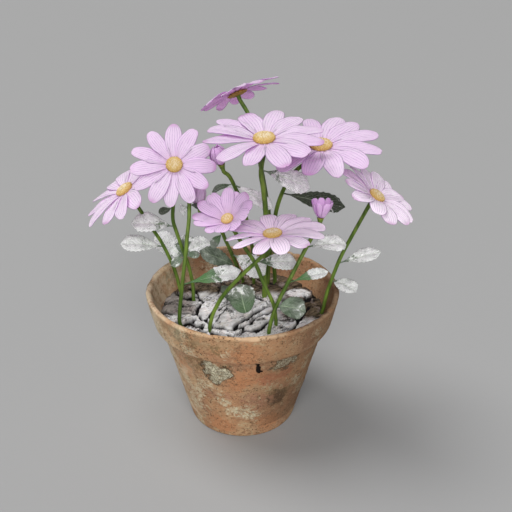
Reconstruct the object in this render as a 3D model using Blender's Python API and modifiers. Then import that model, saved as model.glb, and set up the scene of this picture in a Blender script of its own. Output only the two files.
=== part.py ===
"""Osteospermum in a terracotta pot: one solid per stem, petal ring, disc, bud and leaf.

The pot stands on the XY plane with its axis on Z. The side seen in the reference view faces -Y.
Lengths in the tables below are millimetres.
"""

import math
import random

import bmesh
import bpy
from mathutils import Matrix, Vector

MM = 0.001
GAP = 0.3

# Pot
POT_HEIGHT = 106.1
RIM_RADIUS = 70.0
RIM_EDGE = 0.9
BAND_HEIGHT = 23.3
BAND_LOWER_RADIUS = 65.1
BODY_TOP_RADIUS = 60.8
BASE_RADIUS = 40.9
FLOOR_THICKNESS = 6.0
DRAIN_RADIUS = 6.0
INNER_WALL = ((36.5, 6.0), (56.8, 78.0), (61.5, 88.5), (66.2, 105.2))
POT_STEPS = 40

# Soil and bark
SOIL_TOP = 83.0
MULCH_TOP = 87.6
MULCH_RELIEF = 1.1
MULCH_RINGS = (14.0, 27.0, 38.5, 49.0)
MULCH_SEGMENTS = 32
SOIL_STEPS = 36
ROOT_Z = 79.5
ROOT_LEAN = 0.935
PIT_Z = 87.4

# Stems
STEM_RADIUS = 1.35
STEM_RESOLUTION = 2
HOLE_CLEARANCE = 0.45

# Petals, discs and calyxes
PETAL_THICKNESS = 0.5
PETAL_ROWS = ((0.3, 0.82), (0.7, 1.0), (1.0, 0.45))
PETAL_GROOVE = 0.5
DISC_STEPS = 14
DISC_LIFT = PETAL_THICKNESS / 2 + GAP
CALYX_NECK = 3.0

# Leaves
LEAF_THICKNESS = 0.5
LEAF_ROWS = ((0.0, 0.1), (0.14, 0.12), (0.32, 0.72), (0.55, 1.0), (0.78, 0.78), (0.93, 0.4), (1.0, 0.1))
LEAF_FOLD = 0.22
LEAF_CLEARANCE = 2.2
FOOT_HOLE_RADIUS = 2.0
PEG_ABOVE = 6.0
PEG_SEGMENTS = 8

# Each flower: centre, direction it faces, disc radius, petal width, rise and fall of the petals over
# their length, petals as (angle round the disc in degrees, reach from its centre)
FLOWERS = {
    "flower_1": dict(
        centre=(-82.8, 16.0, 173.8), face=(-0.52, -0.17, 0.84), disc=7.0, width=11.5, rise=0.18, fall=0.22,
        petals=((13, 31), (42, 31), (72, 32), (102, 34), (126, 34), (157, 35), (190, 33), (218, 35),
                (248, 34), (272, 34), (297, 34), (340, 31))),
    "flower_2": dict(
        centre=(-45.1, -5.0, 199.5), face=(-0.01, -0.76, 0.65), disc=5.6, width=10.0, rise=0.16, fall=0.15,
        petals=((27, 26), (64, 28), (94, 29), (128, 29), (159, 30), (186, 29), (211, 30), (241, 30),
                (266, 29), (294, 29), (323, 27), (358, 28))),
    "flower_3": dict(
        centre=(-10.2, -20.0, 167.2), face=(-0.30, -0.43, 0.86), disc=4.3, width=8.0, rise=0.95, fall=0.3,
        petals=((1, 20), (27, 19), (52, 18), (80, 19), (121, 19), (152, 20), (181, 21), (204, 21),
                (234, 19), (263, 18), (300, 19), (336, 19))),
    "flower_4": dict(
        centre=(13.2, -20.0, 221.8), face=(-0.06, -0.16, 0.98), disc=7.1, width=13.5, rise=0.2, fall=0.18,
        petals=((12, 38), (43, 35), (72, 39), (110, 36), (137, 39), (160, 39), (184, 38), (225, 39),
                (255, 37), (284, 42), (316, 36), (342, 38))),
    "flower_5": dict(
        centre=(51.4, 0.0, 211.0), face=(-0.05, -0.21, 0.98), disc=7.6, width=14.0, rise=0.18, fall=0.18,
        petals=((16, 41), (42, 39), (67, 42), (100, 39), (130, 36), (162, 34), (194, 33), (226, 42),
                (254, 38), (281, 40), (317, 38), (344, 40))),
    "flower_6": dict(
        centre=(87.9, -15.0, 181.6), face=(0.49, -0.20, 0.85), disc=6.2, width=10.5, rise=0.16, fall=0.17,
        petals=((8, 29), (33, 27), (57, 27), (79, 29), (104, 27), (132, 28), (161, 28), (190, 27),
                (221, 30), (255, 27), (281, 30), (316, 29), (339, 29))),
    "flower_7": dict(
        centre=(18.9, -38.0, 164.2), face=(-0.10, 0.0, 0.99), disc=6.6, width=12.0, rise=0.2, fall=0.23,
        petals=((6, 35), (35, 32), (62, 33), (94, 31), (125, 31), (155, 30), (184, 30), (218, 31),
                (251, 30), (280, 32), (310, 32), (339, 35))),
    "flower_8": dict(
        centre=(-4.2, 36.0, 238.3), face=(-0.38, 0.30, 0.87), disc=6.6, width=9.5, rise=0.06, fall=0.2,
        petals=((12, 31), (40, 28), (68, 26), (97, 26), (128, 26), (158, 27), (184, 28), (214, 27),
                (246, 25), (278, 24), (310, 27), (344, 30))),
}

# Each bud: foot of its cup, direction it points, petal count and width, and the petals' path as
# (distance from the axis, height above the foot)
BUDS = {
    "bud_1": dict(
        foot=(-14.6, 5.0, 197.0), face=(-0.25, -0.1, 0.96), count=6, width=6.2, turn=10,
        path=((2.3, 0.6), (4.6, 3.6), (5.6, 7.4), (4.4, 10.8), (2.2, 12.6))),
    "bud_2": dict(
        foot=(-30.7, 5.0, 168.5), face=(-0.1, 0.1, 0.99), count=6, width=6.4, turn=25,
        path=((2.3, 0.6), (4.9, 3.6), (5.7, 7.6), (4.8, 11.2), (2.6, 13.4))),
    "bud_3": dict(
        foot=(52.5, -12.0, 167.0), face=(0.06, 0.02, 1.0), count=8, width=5.4, turn=8,
        path=((2.3, 0.6), (3.8, 3.6), (5.6, 7.6), (6.9, 11.0), (7.5, 13.2))),
}
BUD_PETAL_WIDTHS = (1.0, 1.0, 0.9, 0.45)
BUD_CALYX_RADIUS = 2.6
BUD_CALYX_DEPTH = 3.0

# Each stem, from the ground up to just under its flower or bud
STEMS = {
    "flower_1": ((-47.8, 21.8, 88.5), (-49.5, 23.0, 95.0), (-51.1, 24.0, 102.3), (-54.2, 24.0, 113.3),
                 (-60.7, 23.0, 130.3), (-66.5, 21.0, 142.3), (-71.8, 17.0, 155.3)),
    "flower_2": ((-37.4, 11.0, 88.5), (-37.6, 13.0, 98.0), (-39.3, 14.5, 108.9), (-41.5, 15.0, 118.5),
                 (-44.8, 16.0, 128.9), (-48.5, 16.5, 142.0), (-50.5, 16.5, 151.1), (-49.9, 16.0, 161.1),
                 (-47.8, 14.0, 175.0), (-45.8, 10.0, 184.0)),
    "flower_3": ((23.2, -25.6, 88.5), (23.0, -24.5, 94.0), (21.0, -22.5, 104.6), (13.9, -20.0, 120.0),
                 (8.5, -18.0, 133.2), (0.0, -16.0, 146.6)),
    "flower_4": ((16.5, 17.0, 88.5), (17.0, 16.5, 101.8), (17.5, 11.0, 129.7), (15.9, 0.0, 161.4),
                 (13.6, -8.0, 184.0), (11.7, -13.0, 197.5)),
    "flower_5": ((25.5, 39.4, 88.5), (24.8, 38.5, 100.1), (24.3, 36.0, 117.6), (24.0, 28.0, 149.7),
                 (29.9, 19.0, 176.1), (38.6, 11.0, 192.5)),
    "flower_6": ((58.8, -5.3, 88.5), (60.1, -4.5, 96.0), (62.7, -3.0, 106.9), (69.4, -2.0, 129.5),
                 (77.8, -2.0, 150.0)),
    "flower_7": ((-23.2, -30.4, 88.5), (-22.4, -29.8, 94.0), (-20.1, -28.8, 101.5), (-13.0, -30.0, 115.7),
                 (-0.6, -34.0, 133.0), (11.2, -37.0, 147.0)),
    "flower_8": ((19.4, 36.0, 88.5), (20.0, 36.0, 100.2), (20.8, 35.0, 118.1), (19.4, 32.0, 148.0),
                 (16.0, 30.0, 169.9), (12.5, 28.0, 188.8), (9.0, 26.5, 207.6), (4.4, 28.0, 223.5)),
    "bud_1": ((8.6, 38.5, 88.5), (8.6, 38.5, 96.0), (8.4, 37.0, 108.5), (5.3, 30.0, 133.1), (0.0, 20.0, 159.8),
              (-8.3, 10.0, 184.6)),
    "bud_2": ((0.0, 39.4, 88.5), (-0.6, 38.0, 92.0), (-2.6, 31.0, 101.0), (-5.3, 23.0, 112.1),
              (-8.8, 14.0, 126.5), (-12.7, 7.0, 139.8), (-15.3, 4.0, 147.9), (-21.0, 3.5, 154.2),
              (-26.0, 4.2, 158.5)),
    "bud_3": ((17.9, -35.9, 88.5), (18.6, -35.0, 93.5), (22.5, -32.0, 106.9), (31.8, -27.0, 126.0),
              (42.3, -18.0, 143.9), (48.9, -14.0, 155.7)),
    "shoot": ((-44.9, -22.2, 88.5), (-44.6, -20.5, 98.0), (-43.2, -19.0, 109.6), (-40.9, -17.0, 128.2),
              (-39.2, -14.5, 139.8), (-38.1, -12.0, 151.1), (-36.8, -8.0, 161.6), (-36.5, -4.0, 171.6),
              (-36.4, -2.5, 174.5)),
}

# Each leaf: stem it grows on and height there, tip, blade width, way its upper side faces, arch
LEAVES = {
    "leaf_01": ("flower_2", 146.0, (-79.1, 10.0, 152.0), 13.0, (0.0, -0.5, 0.85), 1.5),
    "leaf_02": ("flower_1", 127.0, (-89.4, 16.0, 133.0), 12.5, (0.0, -0.5, 0.85), 1.5),
    "leaf_03": ("flower_2", 120.5, (-69.5, 50.0, 127.0), 13.0, (0.3, -0.9, 0.3), -1.5),
    "leaf_04": ("flower_2", 120.6, (-44.6, 31.0, 132.6), 12.5, (0.0, -0.9, 0.5), 0.0),
    "leaf_05": ("flower_2", 124.5, (-24.4, 26.0, 128.0), 11.0, (0.0, -0.7, 0.7), 1.0),
    "leaf_06": ("shoot", 136.7, (-48.5, -22.0, 134.0), 6.5, (0.2, -0.7, 0.7), 0.6),
    "leaf_07": ("shoot", 137.5, (-29.1, -20.0, 141.0), 5.5, (0.0, -0.6, 0.8), 0.6),
    "leaf_08": ("bud_2", 110.0, (-30.6, 13.0, 128.2), 13.0, (0.2, -0.75, 0.6), 0.5),
    "leaf_09": ("shoot", 117.2, (-1.4, -6.0, 121.8), 13.5, (0.0, -0.45, 0.9), 1.5),
    "leaf_10": ("flower_3", 134.0, (37.7, -10.0, 131.3), 13.5, (0.0, -0.55, 0.8), 2.0),
    "leaf_11": ("bud_2", 124.0, (16.2, 4.0, 113.0), 18.0, (0.1, -0.6, 0.75), 1.5),
    "leaf_12": ("ground", (2.8, -9.5), (-2.5, -1.0, 108.0), 17.0, (0.1, -0.85, 0.5), 1.0),
    "leaf_13": ("ground", (-1.8, 3.5), (-15.9, 8.0, 101.5), 8.0, (0.1, -0.8, 0.6), 1.0),
    "leaf_14": ("bud_3", 108.0, (40.5, -36.0, 108.0), 13.0, (0.0, -0.5, 0.85), 1.2),
    "leaf_15": ("bud_3", 124.0, (58.8, -20.0, 128.8), 8.5, (0.0, -0.6, 0.8), 1.2),
    "leaf_16": ("flower_6", 126.0, (97.1, -6.0, 137.0), 10.0, (0.0, -0.5, 0.85), 1.5),
    "leaf_17": ("flower_6", 112.0, (78.6, -22.0, 113.6), 12.0, (0.0, -0.3, 0.95), 1.0),
    "leaf_18": ("bud_3", 146.0, (72.0, -8.0, 144.0), 11.0, (0.0, -0.5, 0.85), 1.5),
    "leaf_19": ("flower_5", 170.0, (73.9, 22.0, 158.0), 15.0, (0.0, -0.5, 0.85), 3.0),
    "leaf_20": ("flower_4", 199.0, (44.9, -4.0, 186.2), 12.5, (0.0, -0.6, 0.8), 1.5),
    "leaf_21": ("bud_1", 180.2, (21.1, 8.0, 164.0), 11.0, (0.1, -0.6, 0.75), 1.5),
    "leaf_22": ("bud_1", 180.6, (-21.5, 8.0, 176.3), 6.5, (0.0, -0.4, 0.9), 0.8),
    "leaf_23": ("shoot", 170.0, (-43.6, 2.0, 164.0), 8.0, (0.1, -0.8, 0.5), 0.5),
    "leaf_24": ("flower_2", 160.6, (-59.6, 11.0, 159.3), 6.0, (0.0, -0.5, 0.85), 0.5),
    "leaf_25": ("shoot", 171.0, (-29.6, 0.0, 167.6), 5.0, (0.0, -0.5, 0.85), 0.3),
    "leaf_26": ("bud_2", 146.0, (-22.8, -3.0, 139.0), 7.0, (0.6, -0.6, 0.5), 0.6),
}

# Colours are linear RGB
MATERIALS = {
    "terracotta": ((0.52, 0.25, 0.13), 0.85),
    "soil": ((0.05, 0.035, 0.025), 0.95),
    "bark": ((0.50, 0.47, 0.43), 0.9),
    "stem": ((0.16, 0.24, 0.04), 0.6),
    "petal": ((0.80, 0.62, 0.79), 0.55),
    "bud": ((0.46, 0.20, 0.47), 0.55),
    "disc": ((0.72, 0.46, 0.08), 0.8),
    "leaf": ((0.45, 0.52, 0.44), 0.55),
}


def clear_scene():
    for obj in list(bpy.data.objects):
        bpy.data.objects.remove(obj, do_unlink=True)


def new_collection(name):
    made = bpy.data.collections.new(name)
    bpy.context.scene.collection.children.link(made)
    return made


def new_material(name, colour, roughness):
    made = bpy.data.materials.new(name)
    made.use_nodes = True
    shader = made.node_tree.nodes["Principled BSDF"]
    shader.inputs["Base Color"].default_value = (*colour, 1.0)
    shader.inputs["Roughness"].default_value = roughness
    shader.inputs["Metallic"].default_value = 0.0
    made.diffuse_color = (*colour, 1.0)
    return made


def link(obj, collection, material=None, matrix=None):
    collection.objects.link(obj)
    if material is not None:
        obj.data.materials.append(material)
    if matrix is not None:
        obj.matrix_world = matrix
    return obj


def mesh_from(name, points, faces, edges=()):
    mesh = bpy.data.meshes.new(name)
    mesh.from_pydata([Vector(p) * MM for p in points], list(edges), faces)
    mesh.validate()
    mesh.update()
    return bpy.data.objects.new(name, mesh)


def face_frame(centre, face):
    """Matrix whose Z runs along face and whose X is as near to world X as it can be."""
    z = Vector(face).normalized()
    x = (Vector((1.0, 0.0, 0.0)) - z * z.x).normalized()
    y = z.cross(x)
    turn = Matrix((x, y, z)).transposed().to_4x4()
    return Matrix.Translation(Vector(centre) * MM) @ turn


def add_screw(obj, steps):
    screw = obj.modifiers.new("Turn", "SCREW")
    screw.axis = "Z"
    screw.angle = math.tau
    screw.steps = steps
    screw.render_steps = steps
    screw.use_merge_vertices = True
    screw.merge_threshold = 0.00001
    screw.use_smooth_shade = True
    return screw


def lathe(name, profile, steps, closed=False):
    """Turn a profile of (radius, height), listed top to bottom down its outer side, about Z."""
    points = [(radius, 0.0, height) for radius, height in profile]
    edges = [(i, i + 1) for i in range(len(points) - 1)]
    if closed:
        edges.append((len(points) - 1, 0))
    obj = mesh_from(name, points, [], edges)
    add_screw(obj, steps)
    return obj


def solidify(obj, thickness):
    shell = obj.modifiers.new("Thickness", "SOLIDIFY")
    shell.thickness = thickness * MM
    shell.offset = 0.0
    shell.use_even_offset = False
    return shell


def inner_radius(height):
    """Radius of the pot's inner wall at a height."""
    for (r0, z0), (r1, z1) in zip(INNER_WALL, INNER_WALL[1:]):
        if height <= z1:
            return r0 + (r1 - r0) * (height - z0) / (z1 - z0)
    return INNER_WALL[-1][0]


def build_pot(parts, material):
    band_z = POT_HEIGHT - BAND_HEIGHT
    outside = [
        (RIM_RADIUS - RIM_EDGE, POT_HEIGHT),
        (RIM_RADIUS, POT_HEIGHT - RIM_EDGE),
        (BAND_LOWER_RADIUS + 0.3, band_z + 1.0),
        (BAND_LOWER_RADIUS - 0.7, band_z),
        (BODY_TOP_RADIUS, band_z - 0.4),
        (BASE_RADIUS, 1.0),
        (BASE_RADIUS - 1.0, 0.0),
        (DRAIN_RADIUS, 0.0),
        (DRAIN_RADIUS, FLOOR_THICKNESS),
    ]
    inside = [*INNER_WALL, (INNER_WALL[-1][0] + RIM_EDGE, POT_HEIGHT)]
    link(lathe("pot", outside + inside, POT_STEPS, closed=True), parts, material)


def build_soil(parts, cutter, material):
    floor = FLOOR_THICKNESS + GAP
    profile = [
        (0.0, SOIL_TOP),
        (inner_radius(SOIL_TOP) - 2 * GAP, SOIL_TOP),
        (inner_radius(INNER_WALL[1][1]) - 2 * GAP, INNER_WALL[1][1]),
        (inner_radius(floor) - 2 * GAP, floor),
        (0.0, floor),
    ]
    obj = link(lathe("potting_soil", profile, SOIL_STEPS), parts, material)
    cut(obj, cutter)


def build_mulch(parts, cutter, material):
    """Layer of bark pieces: a disc with an uneven top, closed below."""
    chance = random.Random(11)
    bottom = SOIL_TOP + GAP
    edge = inner_radius(MULCH_TOP - MULCH_RELIEF) - 3 * GAP
    rings = [*MULCH_RINGS, edge]
    points = [(0.0, 0.0, MULCH_TOP)]
    faces = []
    for number, radius in enumerate(rings):
        for step in range(MULCH_SEGMENTS):
            angle = math.tau * step / MULCH_SEGMENTS
            lift = chance.uniform(-MULCH_RELIEF, MULCH_RELIEF)
            if number == len(rings) - 1:
                lift = -MULCH_RELIEF
            points.append((radius * math.cos(angle), radius * math.sin(angle), MULCH_TOP + lift))
    low = inner_radius(bottom) - 3 * GAP
    for step in range(MULCH_SEGMENTS):
        angle = math.tau * step / MULCH_SEGMENTS
        points.append((low * math.cos(angle), low * math.sin(angle), bottom))
    for step in range(MULCH_SEGMENTS):
        following = (step + 1) % MULCH_SEGMENTS
        faces.append((0, 1 + step, 1 + following))
        for number in range(len(rings)):
            here = 1 + number * MULCH_SEGMENTS
            out = here + MULCH_SEGMENTS
            faces.append((here + step, out + step, out + following, here + following))
    last = 1 + len(rings) * MULCH_SEGMENTS
    faces.append(tuple(last + step for step in reversed(range(MULCH_SEGMENTS))))
    obj = link(mesh_from("bark_mulch", points, faces), parts, material)
    cut(obj, cutter)


def cut(obj, cutter):
    hole = obj.modifiers.new("Stem holes", "BOOLEAN")
    hole.operation = "DIFFERENCE"
    hole.solver = "EXACT"
    hole.object = cutter


def root_point(ground):
    """Foot of a stem in the soil, nearer the pot's axis than where the stem leaves the ground."""
    return Vector((ground.x * ROOT_LEAN, ground.y * ROOT_LEAN, ROOT_Z))


def build_cutter(cutters):
    """One mesh of pegs, where stems and ground leaves pass into the bark and soil."""
    pegs = []
    for path in STEMS.values():
        ground = Vector(path[0])
        slope = ground - root_point(ground)
        pegs.append((ground, slope, STEM_RADIUS + HOLE_CLEARANCE, slope.length + 1.0))
    for stem, place, *_ in LEAVES.values():
        if stem == "ground":
            pegs.append((Vector((*place, PIT_Z)), Vector((0.0, 0.0, 1.0)), FOOT_HOLE_RADIUS, 2.0))
    shape = bmesh.new()
    for ground, slope, radius, deep in pegs:
        out = slope.normalized()
        middle = (ground + out * (PEG_ABOVE - deep) / 2) * MM
        bmesh.ops.create_cone(
            shape, cap_ends=True, segments=PEG_SEGMENTS, radius1=radius * MM, radius2=radius * MM,
            depth=(PEG_ABOVE + deep) * MM,
            matrix=Matrix.Translation(middle) @ out.to_track_quat("Z", "Y").to_matrix().to_4x4())
    mesh = bpy.data.meshes.new("stem_hole_pegs")
    shape.to_mesh(mesh)
    shape.free()
    obj = link(bpy.data.objects.new("stem_hole_pegs", mesh), cutters)
    obj.hide_render = True
    obj.display_type = "WIRE"
    return obj


def calyx_points(centre, face, radius, depth):
    """Points and radii that widen the end of a stem into the green cup under a flower."""
    axis = Vector(face).normalized()
    top = Vector(centre) - axis * DISC_LIFT
    shape = ((1.0, STEM_RADIUS * 1.15), (0.72, radius * 0.6), (0.35, radius * 0.93), (0.0, radius))
    made = [(top - axis * (depth + CALYX_NECK), STEM_RADIUS)]
    made += [(top - axis * depth * share, width) for share, width in shape]
    return made


def stem_ends():
    """Cup at the end of each stem; the shoot has none."""
    ends = {}
    for name, flower in FLOWERS.items():
        radius = flower["disc"] * 0.9
        ends[name] = calyx_points(flower["centre"], flower["face"], radius, flower["disc"] * 0.62)
    for name, bud in BUDS.items():
        ends[name] = calyx_points(bud["foot"], bud["face"], BUD_CALYX_RADIUS, BUD_CALYX_DEPTH)
    return ends


def build_stem(name, path, end, parts, material):
    points = [(root_point(Vector(path[0])), STEM_RADIUS)]
    points += [(Vector(p), STEM_RADIUS) for p in path]
    points += end or [(Vector(path[-1]) + Vector((0.2, 0.3, 1.5)), STEM_RADIUS * 0.5)]
    curve = bpy.data.curves.new(f"{name}_stem", "CURVE")
    curve.dimensions = "3D"
    curve.bevel_depth = MM
    curve.bevel_resolution = STEM_RESOLUTION
    curve.use_fill_caps = True
    spline = curve.splines.new("POLY")
    spline.points.add(len(points) - 1)
    for point, (place, radius) in zip(spline.points, points):
        point.co = (*(place * MM), 1.0)
        point.radius = radius
    spline.use_smooth = True
    link(bpy.data.objects.new(f"{name}_stem", curve), parts, material)


def petal_sheet(name, petals, ring_inner, ring_outer, width, path_of, widths):
    """Flat ring with one lobe per petal. path_of gives a lobe's (distance from the axis, height) rows."""
    count = len(petals)
    angles = [math.radians(angle) for angle, _ in petals]
    before = [((angles[i] - angles[i - 1]) % math.tau) / 2 for i in range(count)]
    points = []
    faces = []
    for radius in (ring_inner, ring_outer):
        for i, angle in enumerate(angles):
            points.append((radius * math.cos(angle - before[i]), radius * math.sin(angle - before[i]), 0.0))
            points.append((radius * math.cos(angle), radius * math.sin(angle), 0.0))
    ring = 2 * count
    for k in range(ring):
        faces.append((k, ring + k, ring + (k + 1) % ring, (k + 1) % ring))
    for i, (_, reach) in enumerate(petals):
        angle = angles[i]
        out = Vector((math.cos(angle), math.sin(angle), 0.0))
        side = Vector((-math.sin(angle), math.cos(angle), 0.0))
        room = (before[i], before[(i + 1) % count])
        row = (ring + 2 * i, ring + 2 * i + 1, ring + (2 * i + 2) % ring)
        for (distance, height), share in zip(path_of(reach), widths):
            half = [min(width * share / 2, distance * math.tan(a) - GAP / math.cos(a)) for a in room]
            spine = out * distance + Vector((0.0, 0.0, height))
            edge_lift = Vector((0.0, 0.0, PETAL_GROOVE * share))
            made = len(points)
            points += [spine - side * half[0] + edge_lift, spine, spine + side * half[1] + edge_lift]
            faces.append((row[0], made, made + 1, row[1]))
            faces.append((row[1], made + 1, made + 2, row[2]))
            row = (made, made + 1, made + 2)
    obj = mesh_from(name, points, faces)
    obj.data.shade_smooth()
    solidify(obj, PETAL_THICKNESS)
    return obj


def build_petals(name, flower, parts, material):
    ring_outer = flower["disc"] * 1.08

    def path_of(reach):
        length = reach - ring_outer
        return [
            (ring_outer + length * s, length * (flower["rise"] * s - flower["fall"] * s * s))
            for s, _ in PETAL_ROWS
        ]

    obj = petal_sheet(
        f"{name}_petals", flower["petals"], flower["disc"] * 0.45, ring_outer, flower["width"], path_of,
        [share for _, share in PETAL_ROWS])
    link(obj, parts, material, face_frame(flower["centre"], flower["face"]))


def build_bud(name, bud, parts, material):
    petals = [(bud["turn"] + 360.0 * i / bud["count"], 0.0) for i in range(bud["count"])]
    ring_outer = bud["path"][0][0]
    obj = petal_sheet(
        f"{name}_petals", petals, ring_outer * 0.4, ring_outer, bud["width"], lambda _: bud["path"][1:],
        BUD_PETAL_WIDTHS)
    link(obj, parts, material, face_frame(bud["foot"], bud["face"]))


def build_disc(name, flower, parts, material):
    radius = flower["disc"]
    height = radius * 0.42
    profile = [
        (0.0, DISC_LIFT + height),
        (radius * 0.5, DISC_LIFT + height * 0.92),
        (radius * 0.84, DISC_LIFT + height * 0.62),
        (radius, DISC_LIFT + height * 0.25),
        (radius * 0.95, DISC_LIFT),
        (0.0, DISC_LIFT),
    ]
    link(lathe(f"{name}_disc", profile, DISC_STEPS), parts, material, face_frame(flower["centre"], flower["face"]))


def point_on_stem(stem, height):
    """Place on a stem's axis at a height, and the way the stem runs there."""
    path = [Vector(p) for p in STEMS[stem]]
    for low, high in zip(path, path[1:]):
        if height <= high.z:
            break
    return low.lerp(high, (height - low.z) / (high.z - low.z)), (high - low).normalized()


def build_leaf(name, leaf, parts, material):
    stem, place, tip, width, face, arch = leaf
    tip = Vector(tip)
    if stem == "ground":
        base = Vector((*place, PIT_Z))
    else:
        root, upward = point_on_stem(stem, place)
        sideways = tip - root - upward * upward.dot(tip - root)
        base = root + sideways.normalized() * LEAF_CLEARANCE
    along = tip - base
    length = along.length
    out = along.normalized()
    up = (Vector(face) - out * out.dot(Vector(face))).normalized()
    side = up.cross(out)
    points = []
    faces = []
    for share, spread in LEAF_ROWS:
        half = width * spread / 2
        spine = base + out * length * share + up * arch * 4 * share * (1 - share)
        lift = up * half * LEAF_FOLD
        points += [spine - side * half + lift, spine, spine + side * half + lift]
    for row in range(len(LEAF_ROWS) - 1):
        k = 3 * row
        faces.append((k, k + 3, k + 4, k + 1))
        faces.append((k + 1, k + 4, k + 5, k + 2))
    obj = link(mesh_from(name, points, faces), parts, material)
    obj.data.shade_smooth()
    solidify(obj, LEAF_THICKNESS)


def build_plant():
    clear_scene()
    parts = new_collection("osteospermum")
    cutters = new_collection("cutters")
    look = {name: new_material(name, *values) for name, values in MATERIALS.items()}
    cutter = build_cutter(cutters)
    build_pot(parts, look["terracotta"])
    build_soil(parts, cutter, look["soil"])
    build_mulch(parts, cutter, look["bark"])
    ends = stem_ends()
    for name, path in STEMS.items():
        build_stem(name, path, ends.get(name), parts, look["stem"])
    for name, flower in FLOWERS.items():
        build_petals(name, flower, parts, look["petal"])
        build_disc(name, flower, parts, look["disc"])
    for name, bud in BUDS.items():
        build_bud(name, bud, parts, look["bud"])
    for name, leaf in LEAVES.items():
        build_leaf(name, leaf, parts, look["leaf"])


build_plant()
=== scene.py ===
"""Looks of the potted osteospermum: petals, discs, stems, leaves, bark and a weathered clay pot.

Every piece is made in the frame of the CAD model and rides on its one body. Lengths in the tables are
millimetres, and pieces are turned into metres as they are made. Colours are given as they look on a
screen, 0 to 255.
"""

import functools
import math
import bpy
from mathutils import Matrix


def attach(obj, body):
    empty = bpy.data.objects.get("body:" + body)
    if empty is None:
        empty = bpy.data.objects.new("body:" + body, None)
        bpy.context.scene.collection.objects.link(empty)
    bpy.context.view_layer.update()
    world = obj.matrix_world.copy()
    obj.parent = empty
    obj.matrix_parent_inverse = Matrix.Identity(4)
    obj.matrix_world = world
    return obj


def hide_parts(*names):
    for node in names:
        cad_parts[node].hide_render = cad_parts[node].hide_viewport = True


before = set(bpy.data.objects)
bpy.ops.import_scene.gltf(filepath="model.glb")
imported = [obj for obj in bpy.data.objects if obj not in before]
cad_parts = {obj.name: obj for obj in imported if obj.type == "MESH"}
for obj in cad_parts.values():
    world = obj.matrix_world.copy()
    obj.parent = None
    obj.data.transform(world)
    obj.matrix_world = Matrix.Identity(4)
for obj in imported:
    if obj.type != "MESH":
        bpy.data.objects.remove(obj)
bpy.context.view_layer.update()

import types

import bpy
import numpy as np
from mathutils import Matrix, Vector

MM = 0.001
BODY = "root"

# Each flower: centre, direction it faces, disc radius, petal width, rise and fall of the petals over
# their length, how pink it is, petals as (angle round the disc in degrees, reach from its centre). Some
# also say how much painted light lifts their petals' colour where the flower lies in shade, the range of
# the power that shapes a petal's tip, how domed the disc is, the cup's radius and depth as shares of the
# disc's radius, how brown the cup and its scales are, and how unevenly the petals droop
FLOWERS = {
    "flower_1": dict(
        centre=(-82.8, 16, 173.8), face=(-0.52, -0.17, 0.84), disc=6.6, width=12.4, rise=0.18, fall=0.22,
        pink=0.2, light=0.35,
        petals=((13, 31), (42, 31), (72, 32), (102, 34), (126, 34), (157, 35), (190, 33), (218, 35),
                (248, 34), (272, 34), (297, 34), (340, 31))),
    "flower_2": dict(
        centre=(-45.1, -5, 199.5), face=(-0.01, -0.76, 0.65), disc=5.6, width=10.8, rise=0.16, fall=0.15,
        pink=0.3, light=0.12, blunt=(0.7, 1.05),
        petals=((27, 26), (64, 28), (94, 29), (128, 29), (159, 30), (186, 29), (211, 30), (241, 30),
                (266, 29), (294, 29), (323, 27), (358, 28))),
    "flower_3": dict(
        centre=(-10.2, -20, 167.2), face=(-0.3, -0.43, 0.86), disc=4.3, width=10.4, rise=0.95, fall=0.3,
        pink=0.75, light=0.2, blunt=(0.55, 0.85),
        petals=((1, 20), (27, 19), (52, 18), (80, 19), (121, 19), (152, 20), (181, 21), (204, 21), (234, 19),
                (263, 18), (300, 19), (336, 19))),
    "flower_4": dict(
        centre=(13.2, -20, 221.2), face=(-0.06, -0.2, 0.975), disc=7.1, width=13.8, rise=0.25, fall=0.18,
        pink=0.1, blunt=(0.6, 0.9),
        petals=((12, 38), (43, 35), (72, 39), (110, 36), (137, 39), (160, 39), (184, 38), (225, 39),
                (255, 37), (284, 42), (316, 36), (342, 38))),
    "flower_5": dict(
        centre=(51.4, 0, 211), face=(-0.05, -0.21, 0.98), disc=7.6, width=14, rise=0.21, fall=0.18, pink=0.2,
        blunt=(0.6, 0.95),
        petals=((16, 41), (42, 39), (67, 42), (100, 39), (130, 36), (162, 34), (194, 33), (226, 42),
                (254, 38), (281, 40), (317, 38), (344, 40))),
    "flower_6": dict(
        centre=(87.9, -15, 181.6), face=(0.49, -0.2, 0.85), disc=5.8, width=12.8, rise=0.3, fall=0.2, pink=0,
        light=1,
        petals=((8, 29), (33, 27), (57, 27), (79, 29), (104, 27), (132, 28), (161, 28), (190, 27), (221, 30),
                (255, 27), (281, 30), (316, 29), (339, 29))),
    "flower_7": dict(
        centre=(18.9, -38, 164.2), face=(-0.1, 0, 0.99), disc=6.2, width=11.8, rise=0.27, fall=0.22, pink=0,
        light=1,
        petals=((6, 35), (35, 32), (62, 33), (94, 31), (125, 31), (155, 30), (184, 30), (218, 31), (251, 30),
                (280, 32), (310, 32), (339, 35))),
    "flower_8": dict(
        centre=(-4.2, 36, 238.3), face=(-0.37, 0.37, 0.85), disc=6.6, width=9.6, rise=0.1, fall=0.24,
        pink=0.3, dome=0.16, cup=(0.82, 0.3), dry=(0.9, 0.85), loose=1.6,
        petals=((12, 31), (40, 28), (68, 26), (97, 26), (128, 26), (158, 27), (184, 28), (214, 27), (246, 25),
                (278, 24), (310, 27), (344, 30))),
}
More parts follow.
